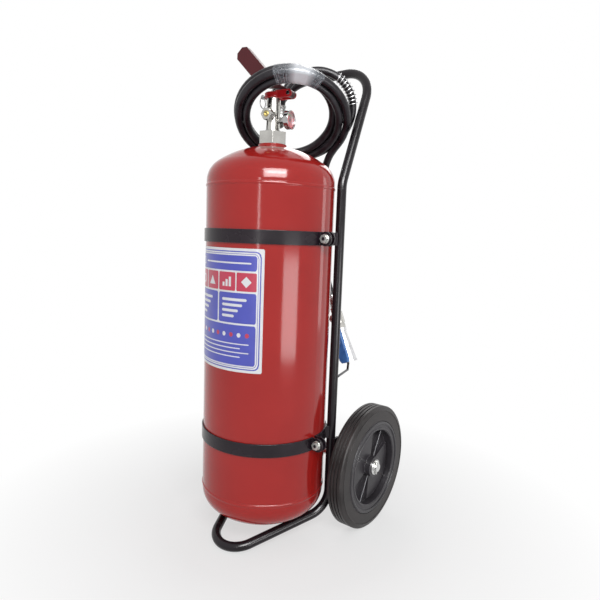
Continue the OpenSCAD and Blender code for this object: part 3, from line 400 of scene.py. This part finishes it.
spring_steel = metal_finish("spring_steel", (0.36, 0.36, 0.37), (0.62, 0.62, 0.63), 0.25)
guard = swept("hose_guard_wire", guard_route, guard_wire, 10)
guard.data.materials.append(spring_steel)
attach(guard, "trolley")
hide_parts("hose_guard")


# ---- Packing film on the coil
# A few turns of clear film hold the coil's turns together at the top. It is stretched over the
# bundle, so it spans the hollows between the turns and creases across its width. Its middle is
# painted lighter and more opaque as a highlight.
FILM_STEPS = 48
FILM_SIDES = 64
film_gap = 0.0006
film_from, film_to = -17.5, 31.5
end_slack = 0.02


def coil_outward(angle):
    a = math.radians(angle)
    return math.sin(a) * coil_right + math.cos(a) * coil_up


def bundle_outline(angle):
    """The outline of the stretched film round the turns that cross one angle of the coil."""
    outward = coil_outward(angle)
    discs = []
    for n in range(6):
        turn = (angle - coil_start) / 360 + n
        if -end_slack <= turn <= coil_turns + end_slack:
            point = coil_place(min(max(turn, 0), coil_turns)) - coil_middle
            discs.append((float(point @ outward), float(point @ coil_out)))
    reach = HOSE_D / 2 + film_gap
    rim = []
    for k in range(FILM_SIDES):
        t = 2 * math.pi * k / FILM_SIDES
        way = (math.cos(t), math.sin(t))
        far = max(discs, key=lambda c: c[0] * way[0] + c[1] * way[1])
        rim.append((far[0] + reach * way[0], far[1] + reach * way[1]))
    return rim


creases = np.random.default_rng(7)
film_rings = []
phase = creases.uniform(0, 2 * math.pi, 3)
for i in range(FILM_STEPS + 1):
    angle = film_from + (film_to - film_from) * i / FILM_STEPS
    outward = coil_outward(angle)
    ring = []
    for k, (r, n) in enumerate(bundle_outline(angle)):
        broad = 0.00025 * math.sin(i * 1.3 + phase[0] + k * 0.5)
        fine = 0.0002 * math.sin(i * 2.9 + phase[1] - k * 0.9)
        point = coil_middle + r * outward + n * coil_out
        ring.append(point + (broad + fine) * outward)
    film_rings.append(ring)
film = lofted("packing_film", film_rings, caps=False)
clear_film, tree = new_material("clear_film")
run = put(tree, "ShaderNodeTexCoord").outputs["UV"]
streak_map = put(tree, "ShaderNodeMapping", {"Vector": run, "Scale": (9.0, 16.0, 1.0)})
streak = noise(tree, streak_map.outputs["Vector"], 3.0, 4.0)
wrinkle = put(tree, "ShaderNodeBump", {"Height": streak, "Strength": 0.5, "Distance": 0.0012})
run_part = put(tree, "ShaderNodeSeparateXYZ", {"Vector": run})
off_middle = maths(tree, "SUBTRACT", run_part.outputs["Y"], 0.56)
off_middle = put(tree, "ShaderNodeMath", {0: off_middle}, operation="ABSOLUTE").outputs[0]
# The middle of the film's length is painted lighter and more opaque: a painted highlight.
middle_highlight = put(
    tree,
    "ShaderNodeMapRange",
    {"Value": off_middle, "From Min": 0.12, "From Max": 0.34, "To Min": 1.0, "To Max": 0.0},
)
crisp = put(tree, "ShaderNodeMapRange", {"Value": streak, "From Min": 0.42, "From Max": 0.62})
cloudy = maths(tree, "MULTIPLY", crisp.outputs["Result"], 0.45)
cover = maths(tree, "MAXIMUM", middle_highlight.outputs["Result"], cloudy)
finish_with(
    tree,
    {
        "Base Color": two_tone(tree, cover, (0.30, 0.33, 0.38), (0.74, 0.77, 0.82)),
        "Roughness": between(tree, streak, 0.1, 0.26),
        "Alpha": between(tree, cover, 0.16, 0.90),
        "Normal": wrinkle.outputs["Normal"],
    },
)
film.data.materials.append(clear_film)
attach(film, "trolley")
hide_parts("coil_tape")


# ---- Pressure vessel
# A rolled steel barrel and two pressed heads, welded round and sprayed in gloss red enamel. The
# weld beads stand a little proud, and the enamel has a fine orange-peel skin.
def enamel(name, shade, deep, rough, chips=0.25, shine=0.3):
    """Sprayed gloss paint with orange peel, haze and small worn edges."""
    material, tree = new_material(name)
    haze = effect(tree, mottle, Scale=6, Contrast=0.5, Speck_Scale=260)
    edges = effect(tree, edge_wear, Radius=0.0012, Amount=chips, Scale=150)
    skin = relief_on(tree, haze.outputs["Speck"], edges, 0.12, 0.0001)
    base = two_tone(tree, haze.outputs["Cloud"], deep, shade)
    primer = tuple(min(1, c * 0.7 + 0.12) for c in shade)
    finish_with(
        tree,
        {
            "Base Color": two_tone(tree, edges.outputs["Mask"], base, primer),
            "Roughness": between(tree, haze.outputs["Cloud"], rough * 0.8, rough * 1.5),
            "Normal": skin,
            "Specular IOR Level": shine,
        },
    )
    return material


def paint(material, *names):
    for name in names:
        nodes[name].data.materials.clear()
        nodes[name].data.materials.append(material)


vessel_red = enamel("vessel_red", (0.42, 0.018, 0.015), (0.36, 0.013, 0.011), rough=0.1, shine=0.36)
paint(vessel_red, "cylinder_shell", "neck_ring")

seal_rubber, tree = new_material("seal_rubber")
haze = effect(tree, mottle, Scale=200, Contrast=0.5, Speck_Scale=900)
seal_dark, seal_pale = (0.015, 0.015, 0.015), (0.04, 0.04, 0.04)
finish_with(
    tree,
    {
        "Base Color": two_tone(tree, haze.outputs["Cloud"], seal_dark, seal_pale),
        "Roughness": between(tree, haze.outputs["Speck"], 0.5, 0.8),
    },
)
paint(seal_rubber, "neck_seal")

siphon_plastic, tree = new_material("siphon_plastic")
haze = effect(tree, mottle, Scale=30, Contrast=0.4, Speck_Scale=600)
finish_with(
    tree,
    {
        "Base Color": two_tone(tree, haze.outputs["Cloud"], (0.62, 0.61, 0.56), (0.72, 0.71, 0.67)),
        "Roughness": between(tree, haze.outputs["Speck"], 0.4, 0.6),
    },
)
paint(siphon_plastic, "siphon_tube")


# ---- Label
# A printed film stuck round the front of the barrel: a white ground, a rounded blue frame, a blue
# head panel, a row of red squares with plain marks, and blue blocks below. It carries no words or
# signs.
label_low, label_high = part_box("label")
barrel_r = 0.1501
label_turn = math.radians(-5.5)
label_half = barrel_r * math.radians(43)
axis_y = float(to_row[1])
film_roughness = 0.32


def film_colour(name, shade):
    """One ink on the film, a little uneven, under a thin gloss coat."""
    material, tree = new_material(name)
    haze = effect(tree, mottle, Scale=40, Contrast=0.5, Speck_Scale=700)
    low, high = film_roughness * 0.8, film_roughness * 1.2
    finish_with(
        tree,
        {
            "Base Color": two_tone(tree, haze.outputs["Cloud"], tuple(c * 0.9 for c in shade), shade),
            "Roughness": between(tree, haze.outputs["Speck"], low, high),
            "Coat Weight": 0.2,
        },
    )
    return material


def set_down(name, sheet, *materials):
    """Makes a finished sheet of faces a piece of the scene, with its materials."""
    mesh = bpy.data.meshes.new(name)
    sheet.to_mesh(mesh)
    sheet.free()
    piece = bpy.data.objects.new(name, mesh)
    bpy.context.scene.collection.objects.link(piece)
    for material in materials:
        mesh.materials.append(material)
    return piece


print_white = film_colour("print_white", (0.80, 0.81, 0.84))
print_blue = film_colour("print_blue", (0.075, 0.090, 0.52))
print_red = film_colour("print_red", (0.58, 0.040, 0.090))
label_sheet = bmesh.new()
INK_LIFT = 0.00006


def print_shape(left, right, low, high, ink, layer):
    """One printed shape on the curved film: low and high give its edges at each place across."""
    columns = max(2, int((right - left) / 0.002) + 1)
    radius = barrel_r + INK_LIFT * layer
    rows = []
    for i in range(columns + 1):
        s = left + (right - left) * i / columns
        a = label_turn + s / barrel_r
        x, y = radius * math.sin(a), axis_y - radius * math.cos(a)
        rows.append([label_sheet.verts.new((x, y, z)) for z in (low(s), high(s))])
    for (a, b), (c, d) in zip(rows, rows[1:]):
        face = label_sheet.faces.new((a, c, d, b))
        face.material_index = ink
        face.smooth = True


def print_block(left, right, low, high, ink, layer, corner=0.0):
    """A printed rectangle with rounded corners."""

    def cut(s):
        t = min(s - left, right - s)
        return corner - math.sqrt(max(0, corner**2 - (corner - t) ** 2)) if t < corner else 0.0

    print_shape(left, right, lambda s: low + cut(s), lambda s: high - cut(s), ink, layer)


def print_disc(middle, height, radius, ink, layer):
    def half(s):
        return math.sqrt(max(0.0, radius**2 - (s - middle) ** 2))

    left, right = middle - radius, middle + radius
    print_shape(left, right, lambda s: height - half(s), lambda s: height + half(s), ink, layer)


WHITE, BLUE, RED = 0, 1, 2
low_z, high_z = label_low.z, label_high.z
trim = 0.0002
edge = label_half - trim
print_block(-edge, edge, low_z + trim, high_z - trim, WHITE, 0, 0.003)
frame_lines = ((0.006, BLUE, 1), (0.0085, WHITE, 2), (0.0115, BLUE, 3), (0.0125, WHITE, 4))
for inset, ink, layer in frame_lines:
    left, right = -edge + inset, edge - inset
    print_block(left, right, low_z + inset, high_z - inset, ink, layer, 0.016 - inset * 0.5)

# Head panel with a ring and a bar
margin = 0.0155
inner = edge - margin
print_block(-inner, inner, high_z - 0.048, high_z - margin, BLUE, 5, 0.005)
ring_at, ring_z = -inner + 0.020, high_z - 0.0318
print_disc(ring_at, ring_z, 0.0095, WHITE, 6)
print_disc(ring_at, ring_z, 0.0060, BLUE, 7)
print_block(-inner + 0.040, inner - 0.012, high_z - 0.0335, high_z - 0.0300, WHITE, 6, 0.0015)

# Four red tiles: a ring, a triangle, three steps and a diamond
tile_gap = 0.003
tile = (2 * inner - 3 * tile_gap) / 4
tile_top, tile_foot, tile_z = high_z - 0.052, high_z - 0.092, high_z - 0.072
mark_foot, mark_tall = high_z - 0.082, 0.020
mark_half = 0.012
tip = 0.0001


def print_triangle(middle):
    def slope(s):
        return mark_foot + mark_tall * (1 - abs(s - middle) / mark_half) + tip

    print_shape(middle - mark_half, middle + mark_half, lambda s: mark_foot, slope, WHITE, 6)


def print_diamond(middle):
    def under(s):
        return tile_z - mark_half + abs(s - middle)

    def over(s):
        return tile_z + mark_half - abs(s - middle) + tip

    print_shape(middle - mark_half, middle + mark_half, under, over, WHITE, 6)


for n in range(4):
    left = -inner + n * (tile + tile_gap)
    print_block(left, left + tile, tile_foot, tile_top, RED, 5, 0.002)
    middle = left + tile / 2
    if n == 0:
        print_disc(middle, tile_z, 0.011, WHITE, 6)
        print_disc(middle, tile_z, 0.007, RED, 7)
    if n == 1:
        print_triangle(middle)
    if n == 2:
        for step in range(3):
            left, right = middle - mark_half + step * 0.009, middle - 0.006 + step * 0.009
            print_block(left, right, high_z - 0.083, high_z - 0.074 + step * 0.006, WHITE, 6)
    if n == 3:
        print_diamond(middle)

# Two blue blocks, each with four bars that shorten downwards
row_top = high_z - 0.096
for left, right in ((-inner, -0.002), (0.002, inner)):
    print_block(left, right, row_top - 0.066, row_top, BLUE, 5, 0.004)
for left in (-inner + 0.010, 0.012):
    for k in range(4):
        right, down = left + 0.064 - 0.010 * k, 0.012 * k
        print_block(left, right, row_top - 0.018 - down, row_top - 0.012 - down, WHITE, 6, 0.003)

# One wide blue block with a row of dots and four lines
lower = row_top - 0.070
dot = 0.005
indent = 0.014
print_block(-inner, inner, low_z + margin, lower, BLUE, 5, 0.005)
for n in range(9):
    left = -inner + indent + n * (2 * inner - 2 * indent - 2 * dot) / 8
    print_disc(left + dot, lower - 0.022, dot, WHITE if n % 2 else RED, 6)
for k in range(4):
    right, down = inner - indent - 0.02 * (k % 2), 0.0095 * k
    print_block(-inner + indent, right, lower - 0.043 - down, lower - 0.0405 - down, WHITE, 6, 0.001)
label_print = set_down("label_print", label_sheet, print_white, print_blue, print_red)
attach(label_print, "trolley")
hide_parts("label")


# ---- Trolley frame
# Bent steel tube, powder coated black: two uprights, the leaning handle bow, the foot bow, the
# nozzle's hook, and the axle's flat brackets welded to the uprights.
def powder_coat(name, shade, rough, grain=1400, wear=0.5):
    """Black powder coat: a fine pebbled skin, cloudy tone and rubbed edges."""
    material, tree = new_material(name)
    haze = effect(tree, mottle, Scale=14, Contrast=0.6, Speck_Scale=grain)
    edges = effect(tree, edge_wear, Radius=0.0015, Amount=wear, Scale=160)
    skin = relief_on(tree, haze.outputs["Speck"], edges, 0.25, 0.0001)
    dark, pale = tuple(c * 0.7 for c in shade), tuple(c * 1.3 for c in shade)
    base = two_tone(tree, haze.outputs["Cloud"], dark, pale)
    rubbed = tuple(c * 2 + 0.05 for c in shade)
    finish_with(
        tree,
        {
            "Base Color": two_tone(tree, edges.outputs["Mask"], base, rubbed),
            "Roughness": between(tree, haze.outputs["Cloud"], rough * 0.8, rough * 1.3),
            "Normal": skin,
            "Specular IOR Level": 0.28,
        },
    )
    return material


frame_black = powder_coat("frame_black", (0.012, 0.009, 0.012), 0.2)
paint(
    frame_black,
    "pole_left",
    "pole_right",
    "handle_bow",
    "foot_side_left",
    "foot_side_right",
    "foot_bow",
    "axle_bracket_left",
    "axle_bracket_right",
    "nozzle_hook",
)


# ---- Band clamps
# Flat steel bands in two halves hold the vessel. The rear half is welded to the uprights, and the
# front half is drawn up by a zinc plated bolt and nut through the ears at each side.
band_black = powder_coat("band_black", (0.014, 0.008, 0.013), 0.24)
paint(band_black, "cradle_upper", "cradle_lower", "strap_upper", "strap_lower")
zinc = metal_finish("zinc", (0.40, 0.40, 0.38), (0.66, 0.66, 0.64), 0.3)
paint(zinc, "clamp_bolts", "clamp_nuts")
# Black hex plates on the bolt heads stand for the sockets: their black is painted shade of the
# recesses.
bolt_low, bolt_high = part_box("clamp_bolts")
washer_r = 0.0105
socket_proud = 0.0002
socket_rims = ((0.0046, 0.0006), (0.0043, 0.0), (0.0036, 0.0))
corners = [math.pi * k / 3 for k in range(6)]
socket_shade_sheet = bmesh.new()
for strap in ("strap_upper", "strap_lower"):
    strap_low, strap_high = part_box(strap)
    for bolt_side in (-1, 1):
        across = bolt_side * (bolt_high.x - washer_r)
        middle = np.array([across, bolt_low.y - socket_proud, (strap_low.z + strap_high.z) / 2])
        rims = []
        for r, lift in socket_rims:
            places = [middle + (r * math.cos(a), lift, r * math.sin(a)) for a in corners]
            rims.append([socket_shade_sheet.verts.new(tuple(place)) for place in places])
        for low_rim, high_rim in zip(rims, rims[1:]):
            for k in range(6):
                m = (k + 1) % 6
                socket_shade_sheet.faces.new((low_rim[k], low_rim[m], high_rim[m], high_rim[k]))
        socket_shade_sheet.faces.new(tuple(rims[-1]))
bolt_socket_shades = set_down("bolt_socket_shades", socket_shade_sheet, band_black)
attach(bolt_socket_shades, "trolley")


# ---- Axle
# A bright drawn steel bar through both brackets carries the wheels. Spacer tubes set them out, and
# washers and split pins hold them on.
axle_steel = metal_finish("axle_steel", (0.50, 0.50, 0.50), (0.78, 0.78, 0.77), 0.22)
paint(axle_steel, "axle", "axle_washers")
paint(zinc, "axle_spacers", "split_pins")


# ---- Wheels
# Solid black rubber tyres with four tread ribs, pressed on moulded black plastic rims, which turn on
# sintered bronze bushes.
tyre_rubber, tree = new_material("tyre_rubber")
haze = effect(tree, mottle, Scale=22, Contrast=0.7, Speck_Scale=700)
edges = effect(tree, edge_wear, Radius=0.0015, Amount=0.6, Scale=90)
dust = maths(tree, "MAXIMUM", haze.outputs["Cloud"], edges.outputs["Mask"])
grain = relief_on(tree, haze.outputs["Speck"], edges, 0.3, 0.0002)
finish_with(
    tree,
    {
        "Base Color": two_tone(tree, dust, (0.014, 0.011, 0.011), (0.042, 0.036, 0.036)),
        "Roughness": between(tree, haze.outputs["Cloud"], 0.36, 0.52),
        "Normal": grain,
        "Specular IOR Level": 0.3,
    },
)
paint(tyre_rubber, "tyre_left", "tyre_right")
rim_plastic = powder_coat("rim_plastic", (0.044, 0.040, 0.046), 0.34, grain=900, wear=1.6)
paint(rim_plastic, "rim_left", "rim_right")
# A slightly lighter copy of the rim's black for the beads: a painted highlight.
rim_bead_highlit = powder_coat("rim_bead_highlit", (0.050, 0.047, 0.052), 0.3, grain=900, wear=1.2)
# A light grey for the ribs' crests: a painted highlight.
crest_highlight_grey = powder_coat("crest_highlight_grey", (0.26, 0.26, 0.28), 0.4, grain=900, wear=1.0)


RING_STEPS = 120
RING_SIDES = 12
ring_flat = 0.6


def turned_ring(name, middle, side_sign, radius, height, minor, material):
    """A rounded bead round the wheel's outer face, at a radius and a height above its middle."""
    rings = []
    for k in range(RING_STEPS):
        a = 2 * math.pi * k / RING_STEPS
        out = np.array([0, math.cos(a), math.sin(a)])
        ring = []
        for n in range(RING_SIDES):
            t = 2 * math.pi * n / RING_SIDES
            rise = side_sign * (height + ring_flat * minor * math.sin(t))
            ring.append(middle + (radius + minor * math.cos(t)) * out + np.array([rise, 0, 0]))
        rings.append(ring)
    ring = lofted(name, rings, closed=True)
    ring.data.materials.append(material)
    return ring


line_from, line_to = 0.0255, 0.0955
line_high = 0.0112
line_half = 0.0009


def face_bar(name, middle, side_sign, along):
    """A narrow upright rib on the wheel's web, with its rounded crest painted lighter as a highlight.
    """
    across = np.cross((1, 0, 0), along)
    rise = ((line_half, 0.0), (line_half, line_high - line_half), (line_half / 2, line_high))
    outline = [(-u, v) for u, v in rise] + list(reversed(rise))
    rings = [
        [middle + r * along + u * across + np.array([side_sign * v, 0, 0]) for u, v in outline]
        for r in np.linspace(line_from, line_to, 9)
    ]
    bar = lofted(name, rings)
    bar.data.materials.append(rim_plastic)
    bar.data.materials.append(crest_highlight_grey)
    for polygon in bar.data.polygons:
        polygon.use_smooth = False
        # Faces turned out along the axle carry the painted highlight.
        if abs(polygon.normal.x) > 0.4:
            polygon.material_index = 1
    return bar


line_angle = math.radians(29)
line_way = np.array([0, math.sin(line_angle), math.cos(line_angle)])
beads = (
    ("rim_bead", 0.1125, 0.0225, 0.0034, rim_bead_highlit),
    ("rim_step", 0.0985, 0.0222, 0.0018, rim_bead_highlit),
    ("tyre_ring", 0.1440, 0.0222, 0.0016, tyre_rubber),
)
for hand, side_sign in (("left", -1), ("right", 1)):
    low, high = (np.array(v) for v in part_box("rim_" + hand))
    hub_middle = (low + high) / 2
    for bead, radius, height, minor, material in beads:
        name = bead + "_" + hand
        ring = turned_ring(name, hub_middle, side_sign, radius, height, minor, material)
        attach(ring, "wheel_" + hand)
    for end, way in (("upper", 1), ("lower", -1)):
        bar = face_bar(f"rim_line_{end}_{hand}", hub_middle, side_sign, way * line_way)
        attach(bar, "wheel_" + hand)
bush_bronze = metal_finish("bush_bronze", (0.45, 0.30, 0.12), (0.62, 0.44, 0.20), 0.35)
paint(bush_bronze, "bush_left", "bush_right")


# ---- Valve
# A nickel plated brass body screwed into the neck. The red cap carries the lever's ears, and a turned
# brass plug closes the boss in front.
valve_nickel = metal_finish("valve_nickel", (0.38, 0.37, 0.35), (0.58, 0.57, 0.54), 0.2)
paint(valve_nickel, "valve_body", "outlet_nut", "outlet_elbow", "nozzle_valve")
plug_brass = metal_finish("plug_brass", (0.36, 0.29, 0.11), (0.58, 0.50, 0.24), 0.22)
paint(plug_brass, "port_plug")
cap_red = enamel("cap_red", (0.62, 0.020, 0.026), (0.50, 0.012, 0.016), rough=0.2)
paint(cap_red, "valve_cap")
# The lever's red is painted far darker than the cap's: painted shade of its underside.
lever_red = enamel("lever_red", (0.085, 0.006, 0.010), (0.055, 0.004, 0.007), rough=0.3, chips=0.5)
paint(lever_red, "lever")
stem_steel = metal_finish("stem_steel", (0.32, 0.32, 0.32), (0.52, 0.52, 0.52), 0.2)
paint(stem_steel, "valve_stem", "lever_pin", "safety_pin")
paint(spring_steel, "valve_spring", "pull_ring")
ferrule_steel = metal_finish("ferrule_steel", (0.26, 0.26, 0.26), (0.44, 0.44, 0.43), 0.28)
paint(ferrule_steel, "outlet_ferrule", "nozzle_ferrule")


# ---- Pressure gauge
# A small bourdon gauge with a chromed case, a red dial with a green arc, and a clear lens. It is
# screwed into the right side of the valve body.
gauge_chrome = metal_finish("gauge_chrome", (0.34, 0.33, 0.33), (0.52, 0.51, 0.51), 0.12)
paint(gauge_chrome, "gauge_case", "nozzle_ball")
dial_print = film_colour("dial_print", (0.50, 0.03, 0.04))
paint(dial_print, "gauge_dial")
gauge_out = np.array([math.cos(valve_turn), math.sin(valve_turn), 0])
gauge_across = np.array([math.sin(valve_turn), -math.cos(valve_turn), 0])
dial_out = 0.04310
dial_low, dial_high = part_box("gauge_dial")
dial_middle = to_row + dial_out * gauge_out
dial_middle[2] = (dial_low.z + dial_high.z) / 2
scale_sheet = bmesh.new()


def dial_sector(inner_r, outer_r, first, last, ink):
    """A printed band of the scale between two radii and two angles from the top, clockwise."""
    steps = max(1, int(abs(last - first) / 6))
    rim = []
    for k in range(steps + 1):
        a = math.radians(first + (last - first) * k / steps)
        way = math.sin(a) * gauge_across + math.cos(a) * np.array([0, 0, 1])
        rim.append([scale_sheet.verts.new(tuple(dial_middle + q * way)) for q in (inner_r, outer_r)])
    for (a, b), (c, d) in zip(rim, rim[1:]):
        scale_sheet.faces.new((a, b, d, c)).material_index = ink


BLACK_INK, WHITE_INK, GREEN_INK = 0, 1, 2
arc_in, arc_out = 0.0112, 0.0136
tick_in, tick_out = 0.0142, 0.0168
dial_sector(arc_in, arc_out, -118, -42, WHITE_INK)
dial_sector(arc_in, arc_out, -40, 58, GREEN_INK)
dial_sector(arc_in, arc_out, 60, 118, WHITE_INK)
for n in range(9):
    dial_sector(tick_in, tick_out, 30 * n - 121, 30 * n - 119, WHITE_INK)
dial_sector(0.0, 0.0034, 0, 360, BLACK_INK)
dial_green = film_colour("dial_green", (0.05, 0.30, 0.10))
needle_black = powder_coat("needle_black", (0.02, 0.02, 0.02), 0.4)
paint(needle_black, "gauge_needle")
dial_scale = set_down("dial_scale", scale_sheet, needle_black, print_white, dial_green)
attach(dial_scale, "trolley")
lens_glass, tree = new_material("lens_glass")
haze = effect(tree, mottle, Scale=80, Contrast=0.4, Speck_Scale=900)
finish_with(
    tree,
    {
        "Base Color": (0.95, 0.98, 1.0, 1),
        "Roughness": between(tree, haze.outputs["Cloud"], 0.02, 0.06),
        "Transmission Weight": 1.0,
        "IOR": 1.45,
    },
)
paint(lens_glass, "gauge_lens")


# ---- Nozzle
# An aluminium horn on a plated ball valve. The quarter-turn lever has a dipped blue sleeve, and the
# whole hangs on the hook at the right upright.
horn_aluminium = metal_finish("horn_aluminium", (0.46, 0.46, 0.47), (0.62, 0.62, 0.63), 0.34)
paint(horn_aluminium, "nozzle_horn")
paint(zinc, "nozzle_lever", "nozzle_lever_nut")
grip_blue, tree = new_material("grip_blue")
haze = effect(tree, mottle, Scale=60, Contrast=0.5, Speck_Scale=500)
edges = effect(tree, edge_wear, Radius=0.002, Amount=0.2, Scale=100)
finish_with(
    tree,
    {
        "Base Color": two_tone(tree, haze.outputs["Cloud"], (0.030, 0.16, 0.50), (0.055, 0.24, 0.66)),
        "Roughness": between(tree, haze.outputs["Cloud"], 0.25, 0.38),
        "Normal": edges.outputs["Rounded"],
    },
)
paint(grip_blue, "nozzle_grip")


# ---- Floor and light
# A pale floor that fades into white under a bright surround. Soft lamps stand in front and behind,
# and panels that only show as reflections draw the highlights on enamel and plating.
floor_mesh = bpy.data.meshes.new("floor")
span = 12.0
floor_corners = [(-span, -span, 0), (span, -span, 0), (span, span, 0), (-span, span, 0)]
floor_mesh.from_pydata(floor_corners, [], [(0, 1, 2, 3)])
floor = bpy.data.objects.new("floor", floor_mesh)
bpy.context.scene.collection.objects.link(floor)
pale_floor, tree = new_material("pale_floor")
place = put(tree, "ShaderNodeTexCoord")
away = put(tree, "ShaderNodeVectorMath", {0: place.outputs["Object"]}, operation="LENGTH")
fade = put(
    tree,
    "ShaderNodeMapRange",
    {"Value": away.outputs["Value"], "From Min": 0.32, "From Max": 0.85, "To Min": 0.6},
)


def seen_ray(tree):
    """One for a ray that is looked along, straight or by reflection, and nought for light's own."""
    ray = put(tree, "ShaderNodeLightPath")
    seen = maths(tree, "MAXIMUM", ray.outputs["Is Camera Ray"], ray.outputs["Is Glossy Ray"])
    return maths(tree, "MAXIMUM", seen, ray.outputs["Is Transmission Ray"])


share = maths(tree, "MULTIPLY", fade.outputs["Result"], seen_ray(tree))
matt = put(tree, "ShaderNodeBsdfDiffuse", {"Color": (0.74, 0.74, 0.74, 1)})
white = put(tree, "ShaderNodeEmission", {"Color": (1, 1, 1, 1), "Strength": 1.0})
blend = put(tree, "ShaderNodeMixShader", {0: share, 1: matt.outputs[0], 2: white.outputs[0]})
put(tree, "ShaderNodeOutputMaterial", {"Surface": blend.outputs[0]})
floor_mesh.materials.append(pale_floor)

world = bpy.data.worlds.new("surround")
bpy.context.scene.world = world
world.use_nodes = True
tree = world.node_tree
tree.nodes.clear()
seen = seen_ray(tree)
dim = put(tree, "ShaderNodeBackground", {"Color": (1, 1, 1, 1), "Strength": 0.45})
bright = put(tree, "ShaderNodeBackground", {"Color": (1, 1, 1, 1), "Strength": 1.0})
blend = put(tree, "ShaderNodeMixShader", {0: seen, 1: dim.outputs[0], 2: bright.outputs[0]})
put(tree, "ShaderNodeOutputWorld", {"Surface": blend.outputs[0]})


def soft_lamp(name, at, towards, size, power, lights=True):
    """A soft rectangle of light aimed at a point. One that doesn't light only shows as a reflection."""
    lamp = bpy.data.lights.new(name, "AREA")
    lamp.shape = "RECTANGLE"
    lamp.size, lamp.size_y = size
    lamp.energy = power
    holder = bpy.data.objects.new(name, lamp)
    bpy.context.scene.collection.objects.link(holder)
    aim = Vector(towards) - Vector(at)
    holder.matrix_world = Matrix.Translation(at) @ aim.to_track_quat("-Z", "Y").to_matrix().to_4x4()
    holder.visible_diffuse = lights


soft_lamp("window_lamp", (1.75, -1.60, 2.1), (0, 0, 0.75), (1.35, 0.55), 36)
soft_lamp("strip_lamp", (1.96, -0.48, 0.32), (0, -0.1, 0.55), (0.95, 0.6), 14, lights=False)
soft_lamp("thin_lamp", (0.75, -1.95, 0.75), (0, -0.1, 0.75), (0.10, 0.8), 2.5)
soft_lamp("side_lamp", (1.15, 1.75, 0.90), (0, -0.1, 0.7), (0.22, 1.5), 2.4)
soft_lamp("window_pane", (1.70, -1.65, 2.12), (0, 0, 0.75), (1.75, 1.5), 150, lights=False)
soft_lamp("back_lamp", (-0.9, 2.0, 2.2), (0, 0, 0.7), (1.6, 1.2), 15)

bpy.context.scene.view_settings.view_transform = "Standard"
